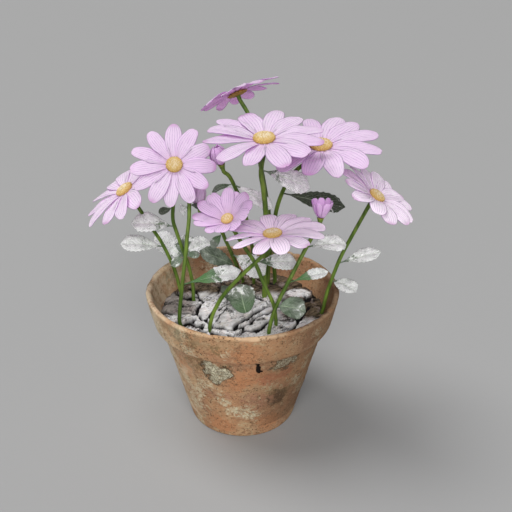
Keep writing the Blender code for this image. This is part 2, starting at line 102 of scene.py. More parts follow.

# Each bud: foot of its cup, direction it points, petal count, turn in degrees, how much of the circle
# each petal spans, how pink it is, for one the painted light that lifts it where it lies in shade, and the
# petals' path as (distance from the axis, height above the foot)
BUDS = {
    "bud_1": dict(
        foot=(-14.6, 5, 197), face=(-0.25, -0.1, 0.96), count=7, turn=10, span=1.5, pink=0.2,
        path=((1.6, 0.4), (4.2, 2.6), (5.4, 6.2), (4.6, 10), (1.9, 13))),
    "bud_2": dict(
        foot=(-30.7, 5, 168.5), face=(-0.1, 0.1, 0.99), count=7, turn=25, span=1.5, pink=0.1, light=0.35,
        path=((1.6, 0.4), (4.4, 2.6), (5.7, 6.6), (5, 10.6), (2.4, 13.6))),
    "bud_3": dict(
        foot=(52.3, -12, 165.2), face=(0.06, 0.02, 1), count=9, turn=8, span=1.1, pink=0.2,
        path=((1.6, 0.4), (3.5, 2.6), (5.3, 6), (6.6, 9.2), (7.2, 12))),
}
BUD_CUP_RADIUS = 1.6
BUD_CUP_DEPTH = 2.4

# Each stem, from the ground up to just under its flower or bud
STEMS = {
    "flower_1": ((-47.8, 21.8, 88.5), (-49.5, 23, 95), (-51.1, 24, 102.3), (-54.2, 24, 113.3),
        (-60.7, 23, 130.3), (-66.5, 21, 142.3), (-71.8, 17, 155.3)),
    "flower_2": ((-37.4, 11, 88.5), (-37.6, 13, 98), (-39.3, 14.5, 108.9), (-41.5, 15, 118.5),
        (-44.8, 16, 128.9), (-48.5, 16.5, 142), (-50.5, 16.5, 151.1), (-49.9, 16, 161.1), (-47.8, 14, 175),
        (-45.8, 10, 184)),
    "flower_3": ((23.2, -25.6, 88.5), (23, -24.5, 94), (21, -22.5, 104.6), (13.9, -20, 120),
        (8.5, -18, 133.2), (0, -16, 146.6)),
    "flower_4": ((16.5, 17, 88.5), (17, 16.5, 101.8), (17.5, 11, 129.7), (15.9, 0, 161.4), (13.6, -8, 184),
        (11.7, -13, 197.5)),
    "flower_5": ((25.5, 39.4, 88.5), (24.8, 38.5, 100.1), (24.3, 36, 117.6), (24, 28, 149.7),
        (29.9, 19, 176.1), (38.6, 11, 192.5)),
    "flower_6": ((58.8, -5.3, 88.5), (60.1, -4.5, 96), (62.7, -3, 106.9), (69.4, -2, 129.5), (77.8, -2, 150)),
    "flower_7": ((-23.2, -30.4, 88.5), (-22.4, -29.8, 94), (-20.1, -28.8, 101.5), (-13, -30, 115.7),
        (-0.6, -34, 133), (11.2, -37, 147)),
    "flower_8": ((19.4, 36, 88.5), (20, 36, 100.2), (20.8, 35, 118.1), (19.4, 32, 148), (16, 30, 169.9),
        (12.5, 28, 188.8), (9, 26.5, 207.6), (4.4, 28, 223.5)),
    "bud_1": ((8.6, 38.5, 88.5), (8.6, 38.5, 96), (8.4, 37, 108.5), (5.3, 30, 133.1), (0, 20, 159.8),
        (-8.3, 10, 184.6)),
    "bud_2": ((0, 39.4, 88.5), (-0.6, 38, 92), (-2.6, 31, 101), (-5.3, 23, 112.1), (-8.8, 14, 126.5),
        (-12.7, 7, 139.8), (-15.3, 4, 147.9), (-21, 3.5, 154.2), (-26, 4.2, 158.5)),
    "bud_3": ((17.9, -35.9, 88.5), (18.6, -35, 93.5), (22.5, -32, 106.9), (31.8, -27, 126),
        (42.3, -18, 143.9), (48.9, -14, 155.7)),
    "shoot": ((-44.9, -22.2, 88.5), (-44.6, -20.5, 98), (-43.2, -19, 109.6), (-40.9, -17, 128.2),
        (-39.2, -14.5, 139.8), (-38.1, -12, 151.1), (-36.8, -8, 161.6), (-36.5, -4, 171.6),
        (-36.4, -2.5, 174.5)),
}
STEM_RADIUS = 1.35
# How much thicker some stems are at the ground than at the top
SWELL = {"flower_4": 1.55, "flower_8": 1.2, "flower_5": 1.15}
STEM_SIDES = 14
# Where a stem's foot lies in the soil: share of its distance from the axis, and height
ROOT_LEAN = 0.935
ROOT_Z = 79.8

# Each leaf, leaf_01 first: stem it grows on and height there, or its place on the ground, tip, blade
# width, way its upper side faces, arch, then how frosted with white it is near its stalk and its tip
LEAVES = (
    ("flower_2", 146, (-79.1, 10, 152), 15.5, (0, -0.5, 0.85), 1.5, 0.5, 0.8),
    ("flower_1", 127, (-89.4, 16, 133), 15, (0, -0.5, 0.85), 1.5, 0.9, 0.7),
    ("flower_2", 120.5, (-69.5, 50, 127), 16, (0.3, -0.9, 0.3), -1.5, 0.6, 0.9),
    ("flower_2", 120.6, (-44.6, 31, 132.6), 14.5, (0, -0.9, 0.5), 0, 0.3, 0.5),
    ("flower_2", 124.5, (-24.4, 26, 128), 14, (0, -0.7, 0.7), 1, 0.6, 0.95),
    ("shoot", 136.7, (-48.5, -22, 134), 6.5, (0.2, -0.7, 0.7), 0.6, 0.3, 0.4),
    ("shoot", 137.5, (-29.1, -20, 141), 5.5, (0, -0.6, 0.8), 0.6, 0.2, 0.4),
    ("bud_2", 110, (-30.6, 13, 128.2), 13, (0.2, -0.75, 0.6), 0.5, 0.25, 0.3),
    ("shoot", 117.2, (-1.4, -6, 121.8), 13.5, (0, -0.45, 0.9), 1.5, 0.1, 0.72),
    ("flower_3", 134, (37.7, -10, 131.3), 13.5, (0, -0.55, 0.8), 2, 0.5, 0.85),
    ("bud_2", 124, (16.2, 4, 113), 18, (0.1, -0.6, 0.75), 1.5, 0.5, 0.7),
    ("ground", (2.8, -9.5), (-2.5, -1, 108), 19.5, (0.1, -0.85, 0.5), 1, 0.1, 0.38),
    ("ground", (-1.8, 3.5), (-15.9, 8, 101.5), 8, (0.1, -0.8, 0.6), 1, 0.1, 0.2),
    ("bud_3", 108, (42.5, -37.5, 107), 17.5, (0, -0.5, 0.85), 1.2, 0.28, 0.32),
    ("bud_3", 124, (58.8, -20, 128.8), 8.5, (0, -0.6, 0.8), 1.2, 0.05, 0.9),
    ("flower_6", 126, (97.1, -6, 137), 12, (0, -0.5, 0.85), 1.5, 0.42, 1.1),
    ("flower_6", 112, (78.6, -22, 113.6), 13.5, (0, -0.3, 0.95), 1, 0.7, 0.75),
    ("bud_3", 146, (72, -8, 144), 14, (0, -0.5, 0.85), 1.5, 0.9, 1),
    ("flower_5", 170, (74, 20, 160), 15, (0.1, -0.72, 0.68), 3, 0.2, 0.34),
    ("flower_4", 199, (45.5, -8, 184.5), 14, (0.05, -0.92, 0.4), 1, 0.5, 1.1),
    ("bud_1", 180.2, (21.1, 8, 164), 11, (0.1, -0.6, 0.75), 1.5, 0.9, 0.95),
    ("bud_1", 180.6, (-21.5, 8, 176.3), 6.5, (0, -0.4, 0.9), 0.8, 0.1, 0.15),
    ("shoot", 170, (-43.6, 2, 164), 8, (0.1, -0.8, 0.5), 0.5, 0.6, 0.8),
    ("flower_2", 160.6, (-59.6, 11, 159.3), 6, (0, -0.5, 0.85), 0.5, 0.1, 0.2),
    ("shoot", 171, (-29.6, 0, 167.6), 5, (0, -0.5, 0.85), 0.3, 0.2, 0.3),
    ("bud_2", 146, (-22.8, -3, 139), 7, (0.6, -0.6, 0.5), 0.6, 0.2, 0.3),
)
# By leaf number: how fresh a green it shows near its stalk, how dark a green it is, and the power of
# the curve at its foot, where these differ from the others
VIVID = {9: 1, 12: 0.6, 13: 0.7, 15: 1, 16: 0.1, 22: 0.8, 26: 0.9}
DEEP = {12: 0.25, 13: 0.7, 19: 1, 22: 0.8, 24: 0.8, 25: 0.7}
ROUND_FOOT = {3: 0.8, 4: 0.7, 8: 0.8, 9: 1.8, 12: 0.55, 14: 0.6, 15: 1.8, 16: 1.5, 17: 0.7}
USUAL_VIVID = 0.25
USUAL_FOOT = 1.15
LEAF_GROUND_Z = 86.2


# Numbers

SEEDS = {"petals": 100, "disc": 300, "stem": 400, "bud": 500, "leaf": 600}


def chances(kind, order):
    """Random draws for one piece, the same in each run."""
    return np.random.default_rng(SEEDS[kind] + order)


def hashed(cell, seed):
    """A number in 0..1 for each whole-number cell."""
    n = cell[:, 0] * 73856093 ^ cell[:, 1] * 19349663 ^ cell[:, 2] * 83492791 ^ (seed + 1) * 2654435761
    n &= 0xFFFFFFFF
    n = ((n ^ (n >> 15)) * 2246822519) & 0xFFFFFFFF
    n = ((n ^ (n >> 13)) * 3266489917) & 0xFFFFFFFF
    return ((n ^ (n >> 16)) & 0xFFFF) / 65535.0


def noise(points, size, seed=0):
    """Smooth noise in -1..1 at points, which are rows of x, y, z."""
    scaled = np.asarray(points, float) / size
    cell = np.floor(scaled).astype(np.int64)
    part = scaled - cell
    part = part * part * (3 - 2 * part)
    total = 0.0
    for corner in np.ndindex(2, 2, 2):
        weight = np.prod(np.where(np.array(corner), part, 1 - part), axis=1)
        total = total + weight * hashed(cell + np.array(corner), seed)
    return 2 * total - 1


def fractal(points, size, seed=0, octaves=3):
    total = 0.0
    for level in range(octaves):
        total = total + noise(points, size / 2**level, seed + 7 * level) / 2**level
    return total


def smoothstep(low, high, value):
    t = np.clip((value - low) / (high - low), 0, 1)
    return t * t * (3 - 2 * t)


def unit(vector):
    vector = np.asarray(vector, float)
    return vector / np.linalg.norm(vector)


def face_axes(face):
    """Rows x, y, z of a frame whose z runs along face and whose x is near world x."""
    z = unit(face)
    x = unit(np.array([1.0, 0, 0]) - z * z[0])
    return np.array([x, np.cross(z, x), z])


def ring_ways(axes, angle):
    """The way outward at an angle round a flower's axis, and the way round."""
    cos, sin = math.cos(angle), math.sin(angle)
    return cos * axes[0] + sin * axes[1], -sin * axes[0] + cos * axes[1]


def laid_out(origin, *ways):
    """Rows of points: an origin plus grids of lengths, each along its own direction."""
    total = np.asarray(origin)
    for lengths, way in ways:
        total = total + lengths[..., None] * way
    return total.reshape(-1, 3)


def smooth_path(points, per_span):
    """Catmull-Rom curve through points."""
    points = np.asarray(points, float)
    padded = np.vstack([2 * points[0] - points[1], points, 2 * points[-1] - points[-2]])
    t = np.linspace(0, 1, per_span, endpoint=False)[:, None]
    made = []
    for a, b, c, d in zip(padded, padded[1:], padded[2:], padded[3:]):
        square = (2 * a - 5 * b + 4 * c - d) * t**2
        cube = (3 * b - a - 3 * c + d) * t**3
        made.append(0.5 * (2 * b + (c - a) * t + square + cube))
    return np.vstack([*made, points[-1:]])


# Meshes

def add_object(name, data):
    obj = bpy.data.objects.new(name, data)
    bpy.context.scene.collection.objects.link(obj)
    return obj


def grid_faces(rows, columns, wrap=False):
    """Quads of a grid of points, stored row by row."""
    r, c = np.meshgrid(np.arange(rows - 1), np.arange(columns if wrap else columns - 1), indexing="ij")
    here = r * columns + c
    right = r * columns + (c + 1) % columns
    return np.stack([here, right, right + columns, here + columns], -1).reshape(-1, 4)


def grid_uv(u, v):
    """UVs of a grid of points, with v for each row and u for each column."""
    v, u = np.meshgrid(v, u, indexing="ij")
    return np.stack([u.ravel(), v.ravel()], 1)


class Shape:
    """Points, faces, UVs and per-point values gathered for one piece."""

    def __init__(self, *values):
        self.points, self.faces, self.uv = [], [], []
        self.values = {name: [] for name in values}
        self.count = 0

    def add(self, points, faces, uv=None, **values):
        """Adds points, and faces that number them from 0."""
        self.faces += [[int(corner) + self.count for corner in face] for face in faces]
        self.points.append(points)
        self.uv.append(np.zeros((len(points), 2)) if uv is None else uv)
        for name in self.values:
            self.values[name].append(np.broadcast_to(values[name], len(points)))
        self.count += len(points)

    def build(self, name, material, slot, *nodes):
        mesh = bpy.data.meshes.new(name)
        mesh.from_pydata((np.vstack(self.points) * MM).tolist(), [], self.faces)
        uv = np.vstack(self.uv)
        loops = np.empty(len(mesh.loops), np.int32)
        mesh.loops.foreach_get("vertex_index", loops)
        mesh.uv_layers.new(name="place").data.foreach_set("uv", uv[loops].astype(np.float32).ravel())
        for key, parts in self.values.items():
            data = np.concatenate(parts).astype(np.float32)
            mesh.attributes.new(key, "FLOAT", "POINT").data.foreach_set("value", data)
        mesh.shade_smooth()
        mesh.materials.append(material)
        obj = add_object(name, mesh)
        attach(obj, BODY)
        if nodes:
            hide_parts(*nodes)
        return obj


def thicken(obj, thickness, under=None):
    """Makes a sheet solid, with another material on its underside if one is given."""
    shell = obj.modifiers.new("Thickness", "SOLIDIFY")
    shell.thickness = thickness * MM
    shell.offset = 0.0
    shell.use_even_offset = False
    if under is not None:
        obj.data.materials.append(under)
        shell.material_offset = 1


# Materials

def linear(colour):
    """Linear RGB of a colour given as it looks on a screen."""
    shares = [channel / 255 for channel in colour]
    return tuple(c / 12.92 if c <= 0.04045 else ((c + 0.055) / 1.055) ** 2.4 for c in shares)


class Value:
    """A number or colour inside a material, on which arithmetic adds nodes."""

    kind = "Math"

    def __init__(self, look, socket):
        self.look = look
        self.socket = socket

    def math(self, operation, other=0.0):
        made = self.look.node(self.kind, self, other)
        made.operation = operation
        return type(self)(self.look, made.outputs[0])

    __add__ = functools.partialmethod(math, "ADD")
    __sub__ = functools.partialmethod(math, "SUBTRACT")
    __mul__ = functools.partialmethod(math, "MULTIPLY")
    __truediv__ = functools.partialmethod(math, "DIVIDE")
    __abs__ = functools.partialmethod(math, "ABSOLUTE")
    sine = functools.partialmethod(math, "SINE")
    larger = functools.partialmethod(math, "MAXIMUM")
    smaller = functools.partialmethod(math, "MINIMUM")

    def steps(self, low, high, to_low=0.0, to_high=1.0):
        """Smoothly from to_low to to_high, as the number goes from low to high."""
        ends = dict(From_Min=low, From_Max=high, To_Min=to_low, To_Max=to_high)
        made = self.look.node("MapRange", Value=self, **ends)
        made.interpolation_type = "SMOOTHSTEP"
        return Value(self.look, made.outputs["Result"])

    def line(self, width, strength=1.0):
        """A line where the number is near 0."""
        return self.steps(0.0, width, strength, 0.0)


class Place(Value):
    """A vector inside a material, on which arithmetic adds nodes."""

    kind = "VectorMath"

    def distance(self, point):
        return Value(self.look, self.math("DISTANCE", point).socket.node.outputs["Value"])


class Look:
    """A material's node tree, with short ways to add the nodes used here."""

    def __init__(self, name, roughness, **sockets):
        self.material = bpy.data.materials.new(name)
        self.material.use_nodes = True
        self.tree = self.material.node_tree
        self.shader = self.tree.nodes["Principled BSDF"]
        self.paint = None
        for key, value in {"Roughness": roughness, **sockets}.items():
            self.shader.inputs[key.replace("_", " ")].default_value = value

    def feed(self, socket, value):
        """Links a value to a socket, or sets the socket to a plain number or tuple."""
        if isinstance(value, Value):
            self.tree.links.new(value.socket, socket)
        else:
            socket.default_value = value

    def node(self, kind, *inputs, **named):
        """A new node, with its inputs in order or by name."""
        made = self.tree.nodes.new("ShaderNode" + kind)
        for socket, value in zip(made.inputs, inputs):
            self.feed(socket, value)
        for key, value in named.items():
            self.feed(made.inputs[key.replace("_", " ")], value)
        return made

    def vector(self, kind, *inputs, **named):
        """The vector that a new node gives."""
        return Place(self, self.node(kind, *inputs, **named).outputs[0])

    def place(self):
        return Place(self, self.node("TexCoord").outputs["Object"])

    def uv(self):
        """How far across and along the piece, each from 0 to 1."""
        split = self.node("SeparateXYZ", Place(self, self.node("TexCoord").outputs["UV"]))
        return Value(self, split.outputs[0]), Value(self, split.outputs[1])

    def value(self, name):
        """A value that the mesh holds at each point."""
        made = self.node("Attribute")
        made.attribute_name = name
        return Value(self, made.outputs["Fac"])

    def noise(self, scale, detail=4.0, roughness=0.55, vector=None, distortion=0.0):
        made = self.node("TexNoise", Vector=vector or self.place(), Scale=scale, Detail=detail,
                         Roughness=roughness, Distortion=distortion)
        return Value(self, made.outputs["Fac"])

    def bend(self, vector, scale, detail, roughness, reach):
        """How far noise moves each place: up to half of reach in each direction."""
        swirl = self.noise(scale, detail, roughness, vector).socket.node.outputs["Color"]
        return (Place(self, swirl) - (0.5, 0.5, 0.5)) * reach

    def cells(self, scale, vector=None, feature="F1"):
        made = self.node("TexVoronoi", Vector=vector or self.place(), Scale=scale)
        made.feature = feature
        return Value(self, made.outputs["Distance"])

    def cell_edges(self, scale, vector):
        return self.cells(scale, vector, "DISTANCE_TO_EDGE")

    def mix(self, factor, a, b):
        """Colour a, which turns to b as the factor goes from 0 to 1."""
        made = self.tree.nodes.new("ShaderNodeMix")
        made.data_type = "RGBA"
        for number, value in ((0, factor), (6, a), (7, b)):
            self.feed(made.inputs[number], (*linear(value), 1.0) if isinstance(value, tuple) else value)
        return Value(self, made.outputs[2])

    def coat(self, factor, colour):
        """Lays a colour over what the material has so far."""
        self.paint = self.mix(factor, self.paint, colour)

    def bump(self, height, distance, strength=1.0):
        made = self.node("Bump", Height=height, Distance=distance * MM, Strength=strength)
        normal = self.shader.inputs["Normal"]
        if normal.is_linked:
            self.tree.links.new(normal.links[0].from_socket, made.inputs["Normal"])
        self.tree.links.new(made.outputs["Normal"], normal)

    def done(self):
        self.feed(self.shader.inputs["Base Color"], self.paint)
        return self.material


VEINS = 7


def petal_look(name, pale, deep, vein, tip, vein_share, edge):
    look = Look(name, 0.6, Sheen_Weight=0.1, Specular_IOR_Level=0.2, Subsurface_Weight=0.35,
                Subsurface_Radius=(1.0, 0.7, 1.0), Subsurface_Scale=0.002)
    across, along = look.uv()
    shifted = across + (look.noise(180, 2) - 0.5) * 0.06
    wave = abs((shifted * (VEINS * math.pi)).sine())
    lines = wave.line(0.3) * look.noise(300, 3).steps(0.3, 0.6, 0.35, 1)
    reach = along.steps(0.1, 0.35) * along.steps(0.88, 0.99, 1, 0)
    look.paint = look.mix(look.noise(60, 3).steps(0.35, 0.7) * 0.3, pale, deep)
    look.coat(look.value("pink"), deep)
    # Painted light: lifts the petals of flowers and buds that lie in shade toward a pale lilac
    look.coat(look.value("light"), (255, 230, 255))
    look.coat(along.line(0.3, 0.7), deep)
    # Painted shade: a darker purple rim along each petal's edge, standing for the shade where petals overlap
    look.coat(abs(across - 0.5).steps(0.455, 0.5, 0, edge), vein)
    look.coat(along.steps(0.86, 1) * look.value("tip"), tip)
    look.coat(lines * (reach * vein_share), vein)
    look.bump(wave, 0.08, 0.5)
    look.bump(look.noise(1400, 2), 0.03, 0.4)
    return look.done()


def disc_look():
    look = Look("disc", 0.8, Specular_IOR_Level=0.15)
    age = look.value("age")
    look.paint = look.mix(age.steps(0.35, 0.8), (230, 218, 192), (222, 198, 142))
    look.coat(age.steps(0.86, 1.02), (178, 138, 76))
    look.coat(look.value("grain").steps(0.3, 1) * 0.8, (200, 168, 98))
    look.bump(look.noise(2600, 2), 0.05, 0.6)
    return look.done()


def stem_look():
    look = Look("stem", 0.5, Specular_IOR_Level=0.3)
    streaks = look.noise(260, 3, vector=look.place() * (1, 1, 0.06))
    look.paint = look.mix(streaks.steps(0.32, 0.68), (70, 98, 30), (118, 144, 56))
    look.coat(look.noise(45, 2).steps(0.45, 0.7, 0, 0.5), (70, 92, 34))
    look.coat(look.value("height").line(0.1, 0.5), (70, 84, 30))
    look.coat(look.value("brown") * 0.85, (200, 142, 72))
    look.feed(look.shader.inputs["Roughness"], streaks.steps(0.2, 0.8, 0.6, 0.42))
    look.bump(streaks, 0.15, 0.7)
    look.bump(look.noise(1500, 2), 0.04, 0.5)
    return look.done()


def leaf_look():
    """Green with pale ribs and a net of lines, under a white frost that has darker lace in it."""
    look = Look("leaf", 0.65, Sheen_Weight=0.15, Specular_IOR_Level=0.25)
    across, along = look.uv()
    side = abs(across - 0.5)
    wander = (look.noise(240, 3) - 0.5) * 0.9
    slant = along * 9 - side * 6.5
    ribs = abs(((slant + wander) * math.pi).sine())
    rib_line = ribs.line(0.17)
    drawn = look.vector("CombineXYZ", slant * 0.4, side * 0.6, look.value("seed"))
    fibre = abs(look.noise(9, 4, 0.65, drawn, 0.8) - 0.5).line(0.032)
    net = abs(look.noise(430, 3, 0.6, distortion=1.2) - 0.5).line(0.025, 0.8)
    blotch = look.noise(150, 4, 0.65, distortion=0.6)
    ragged = look.noise(700, 4, 0.7)
    look.paint = look.mix(blotch.steps(0.35, 0.65), (86, 98, 82), (150, 160, 146))
    look.coat(look.value("vivid"), (86, 130, 74))
    look.coat(look.value("deep"), (56, 66, 48))
    look.coat(rib_line.larger(net * 0.7) * 0.45, (186, 202, 180))
    lace = (rib_line * 0.9).larger(fibre.larger(net))
    shade = lace * look.noise(200, 3, 0.6).steps(0.44, 0.62, 1, 0.3) * along.steps(0.35, 0.75, 1, 0.7)
    white = look.mix(look.noise(300, 3), (250, 255, 248), (255, 255, 255))
    frost = ragged * 0.3 + blotch * 0.75 + (look.value("frost") - 0.5) * 0.7
    look.coat(frost.steps(0.47, 0.56), look.mix(shade, white, (66, 84, 66)))
    midrib = side.steps(0.01, 0.035, 1, 0)
    look.coat(midrib * along.steps(0, 0.8, 0.8, 0.2), (196, 216, 180))
    look.bump(ribs, 0.25, 0.5)
    look.bump(lace, -0.12, 0.5)
    look.bump(ragged, 0.12, 0.7)
    return look.done()


def soil_look():
    look = Look("soil", 0.95)
    look.paint = look.mix(look.noise(300), (30, 24, 18), (84, 66, 48))
    look.bump(look.cells(380), 0.8)
    return look.done()


def bark_look():
    """Pale flakes and brown wood with streaks along the plates, dark splits between them, and painted shade
    in the cracks.
    """
    look = Look("bark", 0.85, Specular_IOR_Level=0.25)
    drawn = look.vector("VectorRotate", Vector=look.place(), Angle=-BARK_TURN) * (0.32, 1, 1)
    drawn = drawn + look.bend(drawn, 160, 4, 0.65, (0.012, 0.012, 0))
    streaky = look.noise(420, 5, 0.7, drawn)
    grain = look.noise(900, 5, 0.75)
    some = look.noise(90, 3).steps(0.52, 0.64)
    wide = look.cell_edges(210, drawn).steps(0.02, 0.1, 1, 0) * some
    thin = look.cell_edges(480, drawn).line(0.07, 0.8) * some
    splits = wide.larger(thin)
    pale = look.mix(streaky.steps(0.38, 0.48), (236, 231, 222), (255, 255, 255))
    brown = look.mix(streaky.steps(0.34, 0.62), (46, 37, 28), (124, 108, 86))
    look.paint = look.mix(look.value("brown"), pale, brown)
    look.coat(look.noise(120, 3).steps(0.52, 0.68, 0, 0.35), (244, 224, 218))
    look.coat(grain.steps(0.64, 0.74, 0, 0.6), (92, 84, 74))
    look.coat(splits * 0.95, (34, 28, 22))
    # Painted shade: near-black in the cracks, seams and splits and under the flakes' steps
    look.coat(look.value("crack"), (14, 11, 9))
    look.bump(streaky, 0.5, 0.9)
    look.bump(splits, -0.4, 0.9)
    look.bump(grain, 0.25, 0.9)
    return look.done()


# Marks on the pot, each over the ones before it: kind, then degrees round from the front, height and
# radius of each mark
POT_MARKS = (
    ("lichen", (-21.5, 71.5, 8), (-15, 69, 7.5), (-20, 61.5, 5.5), (22.5, 75, 4.6), (28.5, 75.5, 5.4),
     (35, 76.5, 5), (185, 70, 9)),
    ("stain", (28.8, 40.5, 10)), ("olive", (23, 47, 5), (37, 44, 7)),
    ("lime", (0, 28, 9), (-9, 31, 6), (8, 24, 6), (-46, 27, 10), (-40, 42, 9), (-30, 53, 8), (-52, 52, 9),
     (59, 36, 8), (47, 49, 6), (52, 62, 7), (-52, 6, 6), (-66, 66, 9)),
    ("tan", (-62, 40, 9)), ("lime", (-66, 18, 8)), ("tan", (-40, 56, 8)),
    ("lime", (-50, 88, 7), (-72, 100, 8), (-38, 100, 7), (-16, 38, 6), (-20, 47, 5)),
    ("orange", (5, 66, 12), (-3, 60, 9)), ("rust", (18, 62, 8), (30, 64, 8)),
    ("pink", (-25, 45, 7), (-12, 45, 6), (5, 44, 9), (15, 40, 8)), ("olive", (-38, 70, 9), (-30, 78, 6)),
    ("orange", (-48, 62, 10), (24, 14, 12), (-22, 12, 12)),
    ("tan", (2, 8, 10), (-23.7, 101, 8), (-46, 94, 14)), ("lime", (-34, 88, 7), (-62, 92, 10)),
    ("moss", (-80, 98, 11)), ("olive", (-95, 100, 9)), ("moss", (-70, 84, 8)), ("olive", (-16, 95, 6)),
    ("lime", (-9, 91, 4)), ("orange", (2, 92, 12)), ("olive", (-30, 95, 6)),
    ("lime", (48, 95, 5), (50, 88, 4)), ("tan", (62, 96, 10), (30, 92, 9)), ("lime", (100, 60, 14)),
    ("olive", (125, 40, 12)), ("rust", (150, 66, 13)), ("lime", (170, 30, 12)), ("pink", (205, 45, 14)),
    ("lime", (230, 62, 12)), ("orange", (250, 30, 12)), ("tan", (115, 94, 12)), ("olive", (160, 95, 11)),
    ("lime", (200, 92, 13)), ("tan", (245, 95, 12)), ("lime", (265, 74, 9)), ("tan", (140, 16, 12)),
    ("rust", (215, 14, 12)), ("stain", (85, 25, 10)),
    ("gap", (8.6, 79.2, 0.9), (9.6, 77.6, 1.2), (10.2, 75.6, 1.5), (9.7, 73.6, 1.2), (10.4, 72, 1.7),
     (12.4, 71.6, 0.9), (6, 80.6, 0.8), (3.6, 80.9, 0.6)),
)
# Colour of each kind of mark, and how much it covers
MARK_TINTS = {
    "lime": ((208, 200, 170), 0.9), "tan": ((190, 158, 122), 0.75), "orange": ((184, 126, 88), 0.8),
    "rust": ((168, 104, 76), 0.8), "pink": ((160, 114, 94), 0.75), "olive": ((112, 98, 66), 0.75),
    "stain": ((52, 38, 30), 1), "moss": ((168, 168, 138), 0.95), "lichen": ((218, 214, 188), 1),
    "gap": ((24, 16, 11), 1),
}
# Marks that are laid over the others by functions of their own
LATE_KINDS = ("lichen", "gap")
# Marks whose surface stays whole, not crumbled
WHOLE_KINDS = ("orange", "rust", "stain")
# How high the marks that stand out from the clay are, in millimetres
CRUST_HEIGHTS = {"lime": 0.3, "moss": 0.3, "lichen": 0.55}


def mark_place(turn, height):
    """Point on the outside of the pot, in millimetres."""
    out = 41.0 + 0.245 * height if height < 82 else 65.5 + 0.2 * (height - 84)
    return np.array([out * math.sin(math.radians(turn)), -out * math.cos(math.radians(turn)), height])


def marks_of(kinds):
    """Kind, centre and radius in millimetres of each mark of some kinds, in order."""
    return [(kind, mark_place(turn, height), radius)
            for kind, *marks in POT_MARKS if kind in kinds for turn, height, radius in marks]


def mark_share(place, centre, radius):
    """Distance from a mark's centre as a share of its radius."""
    return place.distance(tuple(centre * MM)) / (radius * MM)


def nearest_mark(place, wanted):
    """The same for the nearest mark of a kind."""
    shares = [mark_share(place, centre, radius) for _, centre, radius in marks_of([wanted])]
    return functools.reduce(Value.smaller, shares)


def add_stains(look, bent, torn, crumbs):
    """Every flat mark, with a torn edge and, in most kinds, a crumbled surface."""
    whole = crumbs.steps(0.44, 0.54, 0.05, 1)
    for kind, centre, radius in marks_of(set(MARK_TINTS) - set(LATE_KINDS)):
        tint, share = MARK_TINTS[kind]
        cover = (mark_share(bent, centre, radius) + torn).steps(0.6, 1, share, 0)
        look.coat(cover if kind in WHOLE_KINDS else cover * whole, tint)


def add_lichen(look, near, crust, crumbs):
    """Pale cracked scabs with a broken dark outline, painted as the shadow under the crust's raised edge."""
    scab = look.mix(crust.steps(0.03, 0.16), (52, 46, 30), MARK_TINTS["lichen"][0])
    scab = look.mix(crumbs.steps(0.5, 0.62, 0, 0.6), scab, (132, 122, 84))
    look.coat(near.steps(0.85, 1, 1, 0), scab)
    # Painted shadow: a broken dark line just outside each scab's edge
    outline = near.steps(0.86, 0.98) * near.steps(1, 1.3, 1, 0)
    look.coat(outline * look.noise(80, 2).steps(0.36, 0.44), (26, 22, 14))


def add_specks(look, fine):
    """Dark specks and curls, pits and pale grit."""
    some = look.noise(60, 3).steps(0.44, 0.56)
    look.coat(look.cells(430).steps(0.16, 0.26, 1, 0) * (some * 0.95), (44, 32, 22))
    curl = abs(look.noise(150, 3, 0.6, distortion=2.4) - 0.5)
    look.coat(curl.line(0.014) * look.noise(34, 2).steps(0.47, 0.53) * 0.75, (44, 36, 24))
    look.coat(fine.steps(0.54, 0.61, 0, 0.8), (104, 74, 52))
    look.coat(look.noise(390, 5, 0.8).steps(0.57, 0.66, 0, 0.6), (208, 184, 148))


def paint_clay(look):
    """Fired clay in patches of brown and buff."""
    look.paint = look.mix(look.noise(24, 5, 0.6).steps(0.38, 0.62), (188, 142, 104), (162, 120, 92))
    look.coat(look.noise(60, 5, 0.65, distortion=0.8).steps(0.48, 0.6, 0, 0.7), (184, 150, 114))
    look.coat(look.noise(80, 6, 0.75, distortion=1.4).steps(0.57, 0.62, 0, 0.75), (188, 176, 142))


def add_growth(look, place):
    """Brown smears, moss, and bare worn clay on the collar's foot and the rim's top, where it also stands as
    a painted highlight.
    """
    smears = look.noise(130, 6, 0.75, place * (1, 1, 2.4), 1.2)
    look.coat(smears.steps(0.54, 0.64, 0, 0.65), (124, 92, 66))
    moss = look.value("moss") * look.noise(150, 5, 0.7).steps(0.42, 0.55)
    look.coat(moss * 0.9, (120, 120, 94))
    # Worn clay, which is also a painted highlight along the rim's top
    look.coat(look.value("wear_and_highlight") * 0.7, (204, 178, 146))


def add_painted_light_and_dust(look):
    """Painted shade on the right side, pale dust patches that also paint light on the left side, a darker
    inside and a thin warm wash over it all.
    """
    # Painted shade: the clay darkens toward the right side
    look.coat(look.value("painted_shade") * 0.55, (70, 50, 36))
    # Pale dust patches on the left side, which also paint light there
    patches = look.noise(120, 6, 0.75).steps(0.42, 0.58, 0.15, 0.85)
    look.coat(look.value("dust_and_painted_light") * patches, (222, 204, 174))
    look.coat(look.value("inside") * 0.7, (104, 64, 42))
    look.coat(0.06, (240, 196, 150))


